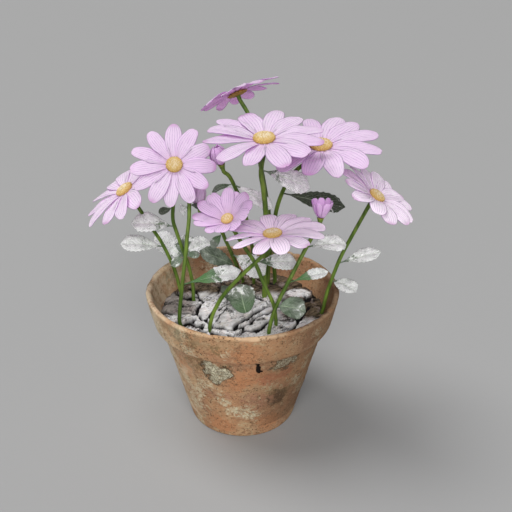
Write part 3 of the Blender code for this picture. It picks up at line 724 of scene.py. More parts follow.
def pot_look():
    look = Look("terracotta", 0.9, Specular_IOR_Level=0.15)
    place = look.place()
    push = look.bend(place, 110, 6, 0.75, (0.026, 0.026, 0.022))
    bent = place + push
    fine = look.noise(330, 6, 0.8)
    torn = (fine - 0.5) * 2
    crumbs = look.noise(520, 5, 0.75)
    near = nearest_mark(bent, "lichen") + torn * 0.4
    gap = nearest_mark(place + push * (0.12, 0.12, 0.12), "gap") + torn * 1.3
    crust = look.cell_edges(330, bent)
    paint_clay(look)
    add_stains(look, bent, torn, crumbs)
    add_growth(look, place)
    add_lichen(look, near, crust, crumbs)
    add_specks(look, fine)
    add_painted_light_and_dust(look)
    look.coat(gap.steps(0.95, 1.15, 1, 0), MARK_TINTS["gap"][0])
    look.bump(near.steps(0.8, 1.05, 1, 0), 0.5, 0.8)
    look.bump(gap.steps(0.8, 1.1), 1.0, 0.8)
    look.bump(crust, 0.25, 0.4)
    look.bump(fine, 0.6, 0.9)
    look.bump(look.noise(1100, 3, 0.7), 0.15, 0.7)
    return look.done()


# Pot

# Radius and height along the pot's wall: down the drainage hole, under the foot, up the outside, over
# the rim and down the inside to the floor
POT_PROFILE = ((6, 6), (6, 0), (36, 0), (39.6, 0), (40.7, 0.5), (41.1, 1.4), (46, 22), (51, 42), (56, 62),
    (60.7, 81.6), (61.4, 82.3), (64, 82.4), (65, 82.9), (65.5, 84.2), (66.6, 89.5), (67.9, 95.5),
    (69.2, 101.8), (69.9, 104.7), (69.6, 105.6), (68.6, 106.05), (67.6, 106), (66.6, 105.6), (66, 104.6),
    (63.9, 96.5), (61.5, 88.5), (59.6, 84), (56.8, 78), (50.4, 50), (43, 22), (36.8, 6.3), (30, 6))
POT_SIDES = 256
POT_STEP = 1.2
# Height of the collar's foot, heights between which the rim rounds over, and where the inner wall shows
COLLAR_Z = 84
RIM_Z = (103.4, 105.6)
INSIDE_Z = 88
CHIP_DEPTH = 1.4


def pot_outline():
    """The pot's profile with points every POT_STEP or so."""
    profile = np.array(POT_PROFILE)
    fine = [profile[0]]
    for a, b in zip(profile, profile[1:]):
        pieces = max(1, int(np.linalg.norm(b - a) / POT_STEP))
        fine += [a + (b - a) * (k + 1) / pieces for k in range(pieces)]
    return np.array(fine)


def pot_relief(points, outward, outside, inside):
    """Moves points of the wall for dents, rings and crusts, and returns how far chips lower each."""
    z = points[:, 2].copy()
    dents = 0.25 * fractal(points, 16, 3) + 0.12 * fractal(points, 3, 5)
    rings = 0.08 * np.sin(z * 2.1 + 1.5 * noise(points, 40, 8))
    rough = fractal(points, 3, 15)
    crust = np.zeros(len(points))
    for kind, centre, radius in marks_of(CRUST_HEIGHTS):
        near = np.linalg.norm(points - centre, axis=1) / radius + 0.3 * rough
        crust = np.maximum(crust, smoothstep(1.05, 0.75, near) * CRUST_HEIGHTS[kind])
    points += outward * ((dents + rings) * (outside | inside) + crust * outside)[:, None]
    worn = smoothstep(0.45, 0.85, noise(points * (1, 1, 0.4), 7, 21)) * smoothstep(*RIM_Z, z)
    return CHIP_DEPTH * worn


def pot_values(points, outward, r, z, outside):
    """Where the pot is worn, with a painted highlight on the rim's top, mossy, painted with shade on its
    right side, and dusty and painted with light on its left side, each from 0 to 1.
    """
    # The rim's paler top is worn clay and also a painted highlight
    rim = smoothstep(103.2, 105.8, z) * smoothstep(-0.4, 0.3, noise(points, 8, 51))
    edge = smoothstep(2.5, 0.6, abs(z - COLLAR_Z)) * (r > 64.4) * smoothstep(0, 0.5, noise(points, 9, 53))
    left = smoothstep(0.25, 0.95, -outward[:, 0] - 0.15 * outward[:, 1])
    moss = left * smoothstep(86, 98, z) * smoothstep(-0.35, 0.4, noise(points, 9, 61))
    # Painted shade: darker toward the right side
    right = 0.9 * outward[:, 0] - 0.44 * outward[:, 1] + 0.1 * noise(points, 18, 71)
    # Painted light: lighter dust on the left side
    lit_side_dust = smoothstep(0.5, 0.95, 0.15 * noise(points, 14, 73) - outward[:, 0])
    return dict(wear_and_highlight=np.maximum(rim, 0.7 * edge), moss=moss, painted_shade=smoothstep(0.45, 0.98, right) * outside,
                dust_and_painted_light=lit_side_dust * outside)


def build_pot(material):
    outline = pot_outline()
    rows = len(outline)
    r, z = np.repeat(outline, POT_SIDES, axis=0).T
    around = np.linspace(0, 2 * np.pi, POT_SIDES, endpoint=False)
    turn = np.tile(around, rows)
    points = np.stack([r * np.cos(turn), r * np.sin(turn), z], 1)
    outward = np.stack([np.cos(turn), np.sin(turn), 0 * turn], 1)
    outside = (z > 2.5) & (r > 40.95 + z * 0.22)
    inside = (z > INSIDE_Z) & ~outside
    points[:, 2] -= pot_relief(points, outward, outside, inside) * (r > 64)
    shape = Shape("wear_and_highlight", "moss", "painted_shade", "dust_and_painted_light", "inside")
    uv = grid_uv(around / (2 * np.pi), np.linspace(0, 1, rows))
    faces = grid_faces(rows + 1, POT_SIDES, wrap=True) % len(points)
    shape.add(points, faces, uv, inside=1.0 * inside, **pot_values(points, outward, r, z, outside))
    shape.build("clay_pot", material, "terracotta", "pot")


# Bark

BARK_RADIUS = 60.2
BARK_STEP = 0.5
BARK_TURN = math.radians(38)
BARK_BASE = 87.9
# Lowest and highest the bark's surface gets from its base
BARK_LOW = -3.6
BARK_HIGH = 2.6
PLATE_LONG = 27.0
PLATE_WIDE = 13.0
SOIL_Z = 83.4
# Cracks between plates of bark: points seen from above, half width and depth
CRACKS = (
    (((-58, -8), (-45, -9), (-33, -10), (-25, -21), (-18, -28), (-9, -29.5), (-1, -19), (5, -13), (13, -3),
      (24, 1)), 1.2, 3.4),
    (((-9, -31), (-1, -28), (5, -22), (10, -15), (16, -10), (27, -2)), 0.9, 2.8),
    (((-6, -36), (5, -31), (13, -28), (18, -21), (24, -18), (34, -18)), 0.9, 2.8),
    (((-47, -25), (-38, -21), (-32, -24)), 2.6, 3.6),
    (((-30, -30), (-21, -34), (-8, -36), (-6, -44)), 1, 2.6),
    (((31, -38), (37, -24), (40, -15), (45, -7), (50, 4)), 1, 2.8),
    (((-40, 30), (-36, 21), (-31, 8), (-33, -2), (-35, -10)), 0.8, 2.2),
    (((-22, -24), (-16, -10), (-10, 1), (-3, 9)), 0.45, 1.1),
    (((-28, -18), (-23, -6), (-17, 4)), 0.4, 0.9),
    (((-17, -3), (-11, 6), (-5, 13), (4, 25), (9, 38)), 0.7, 1.9),
    (((4, 25), (14, 12), (22, 4), (30, 0)), 0.8, 2.2),
    (((41, 34), (51, 33), (57, 27), (55, 17), (46, 9), (37, 7), (28, 12)), 1.5, 2.8),
    (((-60, 8), (-48, 2), (-36, 1)), 0.6, 1.6),
    (((-52, 22), (-44, 14), (-36, 16)), 1.6, 2.8),
    (((-24, 46), (-14, 34), (-12, 22), (-18, 12)), 0.8, 2.2),
    (((10, 52), (16, 40), (28, 34), (34, 26)), 0.7, 1.8),
    (((12, -46), (20, -38), (30, -34)), 0.8, 2.2),
)


def line_distance(flat, points):
    """Distance in the plan from each row of flat to a line through points."""
    best = np.full(len(flat), 1e9)
    for a, b in zip(points, points[1:]):
        a, b = np.array(a, float), np.array(b, float)
        way = b - a
        t = np.clip((flat[:, :2] - a) @ way / way.dot(way), 0, 1)
        best = np.minimum(best, np.linalg.norm(flat[:, :2] - a - t[:, None] * way, axis=1))
    return best


def bark_plates(along, across):
    """Plates of bark as cells: distance to the nearest seam, and each plate's height and tone."""
    cell_a = np.floor(along / PLATE_LONG).astype(np.int64)
    cell_b = np.floor(across / PLATE_WIDE).astype(np.int64)
    cells = []
    for da, db in np.ndindex(3, 3):
        cell = np.stack([cell_a + da - 1, cell_b + db - 1, np.zeros_like(cell_a)], 1)
        off_a = cell[:, 0] + 0.15 + 0.7 * hashed(cell, 81) - along / PLATE_LONG
        off_b = cell[:, 1] + 0.15 + 0.7 * hashed(cell, 82) - across / PLATE_WIDE
        lean = 1.6 * (hashed(cell, 83) - 0.5) - 2.6 * (hashed(cell, 84) - 0.5) * off_b
        cells.append((np.hypot(off_a, off_b), lean, hashed(cell, 86)))
    distance, height, tone = np.array(cells).swapaxes(0, 1)
    nearest = (distance.argmin(0), np.arange(len(along)))
    best, second = np.sort(distance, axis=0)[:2]
    return second - best, height[nearest], tone[nearest]


def bark_browns(flat, tone):
    """Share of brown wood: most at the left, right and back, none on one pale chunk."""
    x, y = flat[:, 0], flat[:, 1]
    left = smoothstep(-30, -40, x + 0.3 * y) * smoothstep(-14, -6, y)
    right = smoothstep(24, 34, x + 3 * noise(flat, 9, 93)) * smoothstep(-22, -12, y)
    back = smoothstep(14, 26, y + 3 * noise(flat, 11, 94))
    chunk = smoothstep(11, 8, np.hypot(x - 43, (y - 21) * 1.4))
    brown = np.clip(np.maximum(np.maximum(0.75 * left, right), back) - chunk, 0, 1)
    return np.clip(brown + 0.25 * (tone > 0.8) * (1 - chunk), 0, 1)


def bark_surface(flat):
    """Height, painted shade in the cracks, seams and splits and under the flakes' steps, and share of brown
    at points of the bark.
    """
    x, y = flat[:, 0], flat[:, 1]
    zero = np.zeros_like(x)
    bent = flat + np.stack([1.5 * fractal(flat, 7, 71, 4), 1.5 * fractal(flat, 7, 72, 4), zero], 1)
    along = bent[:, 0] * math.cos(BARK_TURN) + bent[:, 1] * math.sin(BARK_TURN)
    across = -bent[:, 0] * math.sin(BARK_TURN) + bent[:, 1] * math.cos(BARK_TURN)
    gap, plate_height, tone = bark_plates(along, across)
    streak = np.stack([along * 0.35, across, zero], 1)
    flakes = fractal(streak, 4.5, 91, 4) * 2.6
    terraces = np.floor(flakes)
    rise = flakes - terraces
    grain = 1 - 2 * abs(fractal(streak, 1.8, 95, 3))
    front = smoothstep(12, -6, y) * smoothstep(-44, -30, x)
    relief = 1 - 0.75 * (smoothstep(8, 24, x) * smoothstep(14, 24, y))
    height = relief * (0.5 * plate_height + 0.42 * (terraces + smoothstep(0.82, 1, rise)) + 0.2 * grain)
    height += 0.35 * fractal(flat, 22, 92) + 0.12 * noise(flat, 1.2, 96)
    # Painted shade along the seams between plates, under each flake's step and in the splits, a little less
    # at the front
    seam = smoothstep(0.07, 0.01, gap + 0.03 * noise(flat, 2, 97)) * relief * (1 - 0.7 * front)
    step_shadow = smoothstep(0.78, 0.93, rise) * smoothstep(-0.35, 0.15, noise(flat, 6, 98)) * relief
    split = smoothstep(0.62, 0.9, -grain) * relief * smoothstep(-0.1, 0.4, noise(flat, 9, 99))
    shade_paint = (1 - 0.3 * front) * (0.7 * seam + 0.9 * step_shadow + 0.8 * split)
    height -= 1.3 * seam + 0.5 * split
    # Each crack is cut into the surface and painted in full shade
    for points, half, depth in CRACKS:
        near = line_distance(bent, points) * (1 + 0.6 * noise(flat, 3.5, 98)) / (1.55 * half)
        cut = smoothstep(1.15, 0.75, near)
        height -= depth * cut
        shade_paint = np.maximum(shade_paint, cut)
    return height, np.clip(shade_paint, 0, 1), bark_browns(flat, tone)


def build_bark(material):
    """A round sheet of bark with walls down to the soil."""
    count = int(2 * BARK_RADIUS / BARK_STEP) + 1
    gx, gy = (grid.ravel() for grid in np.meshgrid(*[np.linspace(-1, 1, count)] * 2))
    x = gx * np.sqrt(1 - gy**2 / 2) * BARK_RADIUS
    y = gy * np.sqrt(1 - gx**2 / 2) * BARK_RADIUS
    height, shade_paint, brown = bark_surface(np.stack([x, y, np.zeros_like(x)], 1))
    height = height - 1.2 * smoothstep(0.92, 1, np.hypot(x, y) / BARK_RADIUS)
    points = np.stack([x, y, BARK_BASE + np.clip(height, BARK_LOW, BARK_HIGH)], 1)
    shape = Shape("crack", "brown")
    uv = np.stack([gx, gy], 1) * 0.5 + 0.5
    shape.add(points, grid_faces(count, count), uv, crack=shade_paint, brown=brown)
    ring = grid_edge(count, count)
    skirt = points[ring] * (0.985, 0.985, 1)
    skirt[:, 2] = SOIL_Z
    start = shape.count
    # The skirt down to the soil is painted in full shade
    shape.add(skirt, [], crack=1.0, brown=1.0)
    foot = [start + k for k in range(len(ring))]
    join_rings(shape, ring, foot)
    shape.faces.append(foot[::-1])
    shape.build("bark_chips", material, "bark", "bark_mulch")


def grid_edge(rows, columns):
    """Numbers of the points round the edge of a grid."""
    return [*range(columns), *[r * columns + columns - 1 for r in range(1, rows)],
            *[(rows - 1) * columns + c for c in range(columns - 2, -1, -1)],
            *[r * columns for r in range(rows - 2, 0, -1)]]


def join_rings(shape, upper, lower):
    """A band of faces between two rings of points."""
    for k in range(len(upper)):
        j = (k + 1) % len(upper)
        shape.faces.append([upper[j], upper[k], lower[k], lower[j]])


# Petals, discs and cups

PETAL_ACROSS = 11
PETAL_BODY_ROWS = 13
PETAL_TIP_ROWS = 11
# Half width of a petal at its foot, as a share of its greatest
PETAL_FOOT = 0.2
PETAL_FURROWS = 5
BUD_FURROWS = 4
PETAL_THICKNESS = 0.24
BUD_THICKNESS = 0.22


def petal_rows(blunt, shoulder):
    """Share of a petal's length, and its half width there, from foot to tip."""
    body = np.linspace(0, shoulder, PETAL_BODY_ROWS, endpoint=False)
    width = PETAL_FOOT + (1 - PETAL_FOOT) * np.sin(np.pi / 2 * body / shoulder) ** 1.25
    turn = np.radians(np.linspace(0, 86, PETAL_TIP_ROWS))
    tip = shoulder + (1 - shoulder) * np.sin(turn)
    return np.concatenate([body, tip]), np.concatenate([width, np.cos(turn) ** blunt])


def petal_traits(flower, number, chance):
    """What sets one petal apart from the others."""
    angle, reach = flower["petals"][number]
    return types.SimpleNamespace(
        angle=math.radians(angle + chance.uniform(-1, 1)),
        reach=reach * chance.uniform(0.98, 1.02),
        width=flower["width"] * chance.uniform(0.92, 1.08) / 2,
        roll=math.radians(5) + chance.normal(0, 0.05),
        droop=chance.normal(0, 0.03) * flower.get("loose", 1),
        skew=chance.normal(0, 0.06),
        curl=chance.normal(0, 0.1),
        notch=chance.choice([0.0, 0.0, 0.5, 0.9]),
        level=(0.4 if number % 2 else -0.2) + chance.uniform(-0.1, 0.1),
        blunt=chance.uniform(*flower.get("blunt", (0.7, 1))),
        shoulder=chance.uniform(0.5, 0.68),
        tip_lift=chance.uniform(-1.4, 0.6),
        pink=np.clip(flower["pink"] + chance.uniform(-0.1, 0.15), 0, 1),
        dark_tip=chance.choice([0.0, 0.15, 0.5]))


def petal_relief(flower, petal, v, across, wide, out, lateral):
    """Height of a petal's surface: it rises and then falls, with furrows, a tilt and a curl."""
    ring = flower["disc"] * 1.08
    length = petal.reach - ring
    share = np.clip((out - ring) / length, 0, 1)
    rise, fall = flower["rise"] + petal.droop, flower["fall"] + 1.3 * petal.droop
    height = length * (rise * share - fall * share**2)
    height += wide * across**2 * (0.3 * (1 - v) - 0.1 * v)
    height += 0.14 * np.cos(np.pi * PETAL_FURROWS * across) * np.sin(np.pi * v) ** 0.6
    height += lateral * math.tan(petal.roll) * smoothstep(0, 0.35, v)
    height += petal.curl * lateral * smoothstep(0.5, 1, v)
    height += petal.level * smoothstep(0.05, 0.4, v)
    return height + petal.tip_lift * smoothstep(0.82, 1, v) * (1 - 0.5 * across**2)


def add_petal(shape, flower, number, chance, order):
    petal = petal_traits(flower, number, chance)
    along, half = petal_rows(petal.blunt, petal.shoulder)
    u = np.linspace(-1, 1, PETAL_ACROSS)
    v, across = np.meshgrid(along, u, indexing="ij")
    wide = half[:, None] * petal.width
    start = flower["disc"] * 0.45
    out = start + (petal.reach - start) * v
    out = out - petal.notch * np.exp(-((across / 0.3) ** 2)) * smoothstep(0.86, 1, v)
    lateral = across * wide + petal.skew * (petal.reach - start) * v**2.4 * 0.5
    height = petal_relief(flower, petal, v, across, wide, out, lateral)
    sample = np.stack([out.ravel(), lateral.ravel(), np.full(out.size, 40.0 * number)], 1)
    height += 0.3 * noise(sample, 7, 200 + order).reshape(v.shape) * smoothstep(0.1, 0.6, v)
    lateral += 0.3 * noise(sample, 4, 230 + order).reshape(v.shape) * abs(across)
    axes = face_axes(flower["face"])
    radial, sideways = ring_ways(axes, petal.angle)
    points = laid_out(flower["centre"], (out, radial), (lateral, sideways), (height, axes[2]))
    shape.add(points, grid_faces(*v.shape)[:, ::-1], grid_uv((u + 1) / 2, along), pink=petal.pink,
              tip=petal.dark_tip, light=flower.get("light", 0))


def build_petals(name, flower, top, under, order):
    chance = chances("petals", order)
    shape = Shape("pink", "tip", "light")
    for number in range(len(flower["petals"])):
        add_petal(shape, flower, number, chance, order)
    obj = shape.build(f"{name}_petal_ring", top, "petal", f"{name}_petals")
    thicken(obj, PETAL_THICKNESS, under)


def ball(rings=4, sides=6):
    """Points and faces of a small closed ball of radius 1."""
    points = [(0.0, 0.0, -1.0)]
    for i in range(1, rings):
        lean = math.pi * i / rings
        for k in range(sides):
            turn = 2 * math.pi * k / sides
            points.append((math.sin(lean) * math.cos(turn), math.sin(lean) * math.sin(turn), -math.cos(lean)))
    points.append((0.0, 0.0, 1.0))
    last = len(points) - 1
    pairs = [(k, (k + 1) % sides) for k in range(sides)]
    faces = [[0, 1 + b, 1 + a] for a, b in pairs]
    for first in range(1, 1 + (rings - 2) * sides, sides):
        faces += [[first + a, first + b, first + sides + b, first + sides + a] for a, b in pairs]
    faces += [[last, last - sides + a, last - sides + b] for a, b in pairs]
    return np.array(points), faces


DISC_LIFT = 0.55
DISC_SIDES = 28
# The dome's rings from its middle out, as shares of its radius, then two that close it below
DISC_ROWS = np.array([0.001, 0.2, 0.4, 0.6, 0.75, 0.88, 0.96, 0.995, 0.9, 0.001])
FLORETS = 170
FLORET_SPREAD = 0.97
# How far out, as a share of the disc's radius, florets stand taller, and lean outward
TALL_SHARE = 0.55
EDGE_SHARE = 0.94
GOLDEN_ANGLE = math.radians(137.508)


def dome(flower, r):
    """Height of a flower's disc at a distance from its middle."""
    radius = flower["disc"]
    round_edge = np.sqrt(np.clip(1 - (r / radius) ** 2.6, 0, 1))
    dimple = 1 - 0.1 * np.exp(-(r / radius / 0.3) ** 2)
    return DISC_LIFT + radius * flower.get("dome", 0.4) * round_edge * dimple


def dome_points(flower):
    """Rows of points round a disc's dome, in the flower's own axes."""
    radius = flower["disc"]
    heights = dome(flower, DISC_ROWS * radius)
    heights[-2:] = DISC_LIFT - 0.3
    turn = np.linspace(0, 2 * np.pi, DISC_SIDES, endpoint=False)
    rings = DISC_ROWS[:, None] * radius
    rows = [rings * np.cos(turn), rings * np.sin(turn), np.repeat(heights[:, None], DISC_SIDES, 1)]
    return np.stack(rows, -1).reshape(-1, 3)


def floret_place(flower, share, angle):
    """Place of a floret, and the way it points: straight out of the dome, or outward at its edge."""
    radius = flower["disc"]
    r = share * radius * FLORET_SPREAD
    cos, sin = math.cos(angle), math.sin(angle)
    lean = (dome(flower, max(r - 0.2, 0)) - dome(flower, min(r + 0.2, radius))) / 0.4
    if share > EDGE_SHARE:
        lean = 1.4
    place = np.array([r * cos, r * sin, dome(flower, min(r, radius * 0.985))])
    return place, (lean * cos, lean * sin, 1)


def build_disc(name, flower, material, order):
    """Dome covered with small florets, closed below."""
    chance = chances("disc", order)
    axes = face_axes(flower["face"])
    centre = np.array(flower["centre"])
    shape = Shape("age", "grain")
    shape.add(centre + dome_points(flower) @ axes, grid_faces(len(DISC_ROWS), DISC_SIDES, wrap=True),
              age=np.repeat(DISC_ROWS, DISC_SIDES) * 1.1, grain=1.0)
    template, faces = ball()
    size = flower["disc"] * 0.86 / math.sqrt(FLORETS)
    for n in range(FLORETS):
        share = math.sqrt((n + 0.5) / FLORETS)
        place, way = floret_place(flower, share, n * GOLDEN_ANGLE + chance.normal(0, 0.03))
        tall = size * (1.5 if share > TALL_SHARE else 1.1) * chance.uniform(0.8, 1.25)
        local = place + (template * (size, size, tall)) @ face_axes(way)
        shape.add(centre + local @ axes, faces, age=share, grain=chance.uniform(0, 1))
    shape.build(f"{name}_florets", material, "disc", f"{name}_disc")


def stem_cup(name):
    """Centre, direction, radius and depth of the cup that ends a stem, if it has one."""
    if name in FLOWERS:
        flower = FLOWERS[name]
        wide, deep = flower.get("cup", (0.9, 0.62))
        return flower["centre"], flower["face"], flower["disc"] * wide, flower["disc"] * deep
    if name in BUDS:
        return BUDS[name]["foot"], BUDS[name]["face"], BUD_CUP_RADIUS, BUD_CUP_DEPTH
    return None


def cup_points(centre, face, radius, depth):
    """Points and radii that widen the end of a stem into the cup under a flower."""
    axis = unit(face)
    top = np.array(centre) - axis * (DISC_LIFT - 0.15)
    made = [(top - axis * (depth + 3), STEM_RADIUS), (top - axis * depth, STEM_RADIUS * 1.12)]
    for share, width in ((0.72, 0.55), (0.42, 0.86), (0.18, 1), (0, 1.04)):
        made.append((top - axis * depth * share, radius * width))
    return made


# How brown the cup's rings get, from the stem up, as shares of the brownest
CUP_BROWN = np.array([0, 0.2, 0.45, 0.8, 1])
STEM_SPAN_POINTS = 8


def tube(shape, path, radii, sides, **values):
    """A closed tube along a path, with its frame carried along without twist."""
    tangent = np.gradient(path, axis=0)
    tangent /= np.linalg.norm(tangent, axis=1)[:, None]
    side = unit(np.cross(tangent[0], (0.3, 1.0, 0.2)))
    turn = np.linspace(0, 2 * np.pi, sides, endpoint=False)
    rows = []
    for here, way, radius in zip(path, tangent, radii):
        side = unit(side - way * side.dot(way))
        other = np.cross(way, side)
        ribbed = radius * (1 + 0.05 * np.cos(turn * 5))
        rows.append(here + ribbed[:, None] * (np.cos(turn)[:, None] * side + np.sin(turn)[:, None] * other))
    uv = grid_uv(turn / (2 * np.pi), np.linspace(0, 1, len(path)))
    spread = {k: np.repeat(v, sides) for k, v in values.items()}
    shape.add(np.vstack(rows), grid_faces(len(path), sides, wrap=True), uv, **spread)
    shape.faces.append(list(range(sides))[::-1])
    shape.faces.append([shape.count - sides + k for k in range(sides)])


def build_stem(name, path, material, order):
    chance = chances("stem", order)
    cup = stem_cup(name)
    ends = cup_points(*cup) if cup else [(np.array(path[-1]) + (0.2, 0.3, 1.5), STEM_RADIUS * 0.5)]
    neck, neck_radius = ends[0]
    places = [(path[0][0] * ROOT_LEAN, path[0][1] * ROOT_LEAN, ROOT_Z), *path, neck]
    radii = [STEM_RADIUS] * (len(places) - 1) + [neck_radius]
    line = smooth_path(places, STEM_SPAN_POINTS)
    share = np.linspace(0, 1, len(line))
    widths = np.interp(share * (len(places) - 1), np.arange(len(places)), radii)
    widths = widths * (1 + 0.05 * noise(line, 9, 410 + order))
    swell = SWELL.get(name, 1)
    widths = widths * np.interp(share, (0, 0.6, 1), (swell, 1 + 0.7 * (swell - 1), 1))
    cup_brown, scales_brown = FLOWERS[name].get("dry", (0.5, 0)) if name in FLOWERS else (0.2, 0)
    brown = np.zeros(len(line))
    if cup:
        line = np.vstack([line, [place for place, _ in ends[1:]]])
        widths = np.concatenate([widths, [width for _, width in ends[1:]]])
        brown = np.concatenate([brown, cup_brown * CUP_BROWN])
    shape = Shape("height", "brown")
    tube(shape, line, widths, STEM_SIDES, height=(line[:, 2] - line[0, 2]) / 100, brown=brown)
    if cup:
        add_scales(shape, cup, chance, name in BUDS, scales_brown)
    shape.build(f"{name}_stalk", material, "stem", f"{name}_stem")


FLOWER_SCALES = 15
BUD_SCALES = 10
SCALE_HALF_WIDTH = 1.15
SCALE_THICKNESS = 0.22


def scale_path(cup, bud, rows, length):
    """Distance from the axis and height of a scale, along its length."""
    _, _, radius, depth = cup
    if bud:
        knots = (0, 0.3, 1)
        out = (1.6, radius * 1.1, radius * 1.5)
        high = np.array([-depth, -depth * 0.35, 0.5 * length])
        return np.interp(rows, knots, out), np.interp(rows, knots, high) - DISC_LIFT
    knots = (0, 0.35, 0.6, 1)
    out = (1.8, radius * 0.96, radius * 1.12, radius * (1.2 + 0.22 * length))
    high = (-depth, -depth * 0.5, -1, -0.55)
    return np.interp(rows, knots, out), np.interp(rows, knots, high) - 0.5


def add_scales(shape, cup, chance, bud, dry):
    """Narrow green scales round the cup, lying against the petals."""
    axes = face_axes(cup[1])
    count = BUD_SCALES if bud else FLOWER_SCALES
    rows = np.linspace(0, 1, 8)
    u = np.linspace(-1, 1, 5)
    wide = SCALE_HALF_WIDTH * np.sin(np.pi * (0.12 + 0.86 * rows))[:, None] ** 0.7
    edge = grid_edge(len(rows), len(u))
    faces = grid_faces(len(rows), len(u))
    for number in range(count):
        angle = 2 * math.pi * (number + chance.uniform(-0.15, 0.15)) / count
        out, high = scale_path(cup, bud, rows, chance.uniform(0.85, 1.1))
        radial, sideways = ring_ways(axes, angle)
        outward = radial * 0.6 - axes[2] * 0.8
        upper = laid_out(cup[0], (out[:, None], radial), (high[:, None], axes[2]), (wide * u, sideways),
                         (0.25 * (1 - u**2) * wide, outward))
        tips = smoothstep(0.45, 1, rows) * chance.uniform(0.4, 1) * (0.3 if bud else 1)
        brown = np.repeat(np.maximum(tips, dry), len(u))
        first = shape.count
        shape.add(upper, faces, height=1.0, brown=brown)
        shape.add(upper - SCALE_THICKNESS * outward, faces[:, ::-1], height=1.0, brown=brown)
        top = [first + k for k in edge]
        join_rings(shape, top, [k + len(upper) for k in top])


def build_bud(name, bud, top, order):
    chance = chances("bud", order)
    axes = face_axes(bud["face"])
    distance, height, _ = smooth_path([(r, h, 0) for r, h in bud["path"]], 5).T[:, :, None]
    share = np.linspace(0, 1, len(height))
    u = np.linspace(-1, 1, 9)
    spread = math.pi / bud["count"] * bud["span"]
    half = spread * np.interp(share, (0, 0.2, 0.72, 0.9, 1), (1, 1, 0.98, 0.85, 0.45))
    furrows = 0.12 * np.cos(np.pi * BUD_FURROWS * u) * np.sin(np.pi * share)[:, None]
    shape = Shape("pink", "tip", "light")
    for number in range(bud["count"]):
        turn = math.radians(bud["turn"]) + 2 * math.pi * number / bud["count"] + chance.normal(0, 0.04)
        reach = chance.uniform(0.94, 1.05)
        around = turn + half[:, None] * u
        out = distance + (0.45 if number % 2 else 0) + 0.35 * u + furrows
        out = out - 0.25 * chance.uniform(0, 1) * share[:, None] ** 2
        points = laid_out(bud["foot"], (out * np.cos(around), axes[0]), (out * np.sin(around), axes[1]),
                          (height * reach, axes[2]))
        pink = np.clip(bud["pink"] + chance.uniform(-0.15, 0.15), 0, 1)
        shape.add(points, grid_faces(*out.shape), grid_uv((u + 1) / 2, share), pink=pink, tip=0.0,
                  light=bud.get("light", 0))
    obj = shape.build(f"{name}_petal_ring", top, "bud", f"{name}_petals")
    thicken(obj, BUD_THICKNESS, top)


# Leaves

LEAF_ROWS = 60
LEAF_TIP_ROWS = 20
LEAF_TIP = 0.84
LEAF_WIDEST = 0.62
LEAF_ACROSS = 15
LEAF_THICKNESS = 0.3
TEETH = 10
TOOTH_DEPTH = 0.14
LEAF_RIBS = 8
RIB_SLANT = 2.75


def stem_at(stem, height):
    """Place on a stem's axis at a height, and the way the stem runs there."""
    path = [np.array(p) for p in STEMS[stem]]
    for low, high in zip(path, path[1:]):
        if height <= high[2]:
            break
    return low + (high - low) * (height - low[2]) / (high[2] - low[2]), unit(high - low)


def leaf_root(stem, place, tip):
    """Where a leaf starts: at its place on the ground, or on its stem's side that faces its tip."""
    if stem == "ground":
        return np.array([*place, LEAF_GROUND_Z])
    root, upward = stem_at(stem, place)
    sideways = tip - root - upward * upward.dot(tip - root)
    return root + unit(sideways) * STEM_RADIUS * 0.5


def leaf_widths(t, chance, foot):
    """Half width of a leaf along its length, with fine forward teeth, for its two sides."""
    s = np.clip((t - 0.1) / 0.9, 0, 1)
    wedge = np.sin(np.pi / 2 * np.clip(s / LEAF_WIDEST, 0, 1)) ** foot
    rounded = np.sqrt(np.clip(1 - (np.clip(s - LEAF_WIDEST, 0, 1) / (1 - LEAF_WIDEST)) ** 2.2, 0, 1))
    blade = np.where(s < LEAF_WIDEST, wedge, rounded)
    sides = []
    for _ in range(2):
        saw = (t * TEETH + chance.uniform(0, 1)) % 1.0
        tooth = np.where(saw < 0.7, saw / 0.7, (1 - saw) / 0.3)
        deep = TOOTH_DEPTH * smoothstep(0.25, 0.4, t)
        sides.append(0.07 + 0.93 * blade * (1 + deep * (tooth - 0.6)))
    return sides


def leaf_relief(chance, order, length, arch, ts, u, lateral):
    """Height of a leaf's surface: its arch, fold, midrib, ribs, crinkles and wavy edge."""
    far = abs(u)
    blade = smoothstep(0.12, 0.34, ts)
    bend = arch * 4 * ts * (1 - ts) - 0.07 * length * smoothstep(0.6, 1, ts) * chance.uniform(0, 1)
    fold = 0.2 * abs(lateral) * (1 - 0.5 * smoothstep(0.5, 1, far))
    midrib = -0.28 * np.exp(-(u / 0.1) ** 2) * blade
    ribs = 0.25 * abs(np.sin(np.pi * (ts * LEAF_RIBS - far * RIB_SLANT))) * blade * smoothstep(0, 0.3, far)
    sway = 0.05 * length * chance.normal(0, 0.5) * np.sin(np.pi * ts)
    sample = np.stack([ts.ravel() * length, lateral.ravel(), np.full(ts.size, 50.0 * order)], 1)
    crinkle = 0.5 * fractal(sample, 4, 610).reshape(ts.shape) * blade
    wave = 0.5 * noise(sample * (1, 0, 1), 5, 620).reshape(ts.shape) * far**2 * blade
    twist = chance.normal(0, 0.15) * lateral * ts
    return bend + fold + midrib + ribs + crinkle + wave + twist, sway


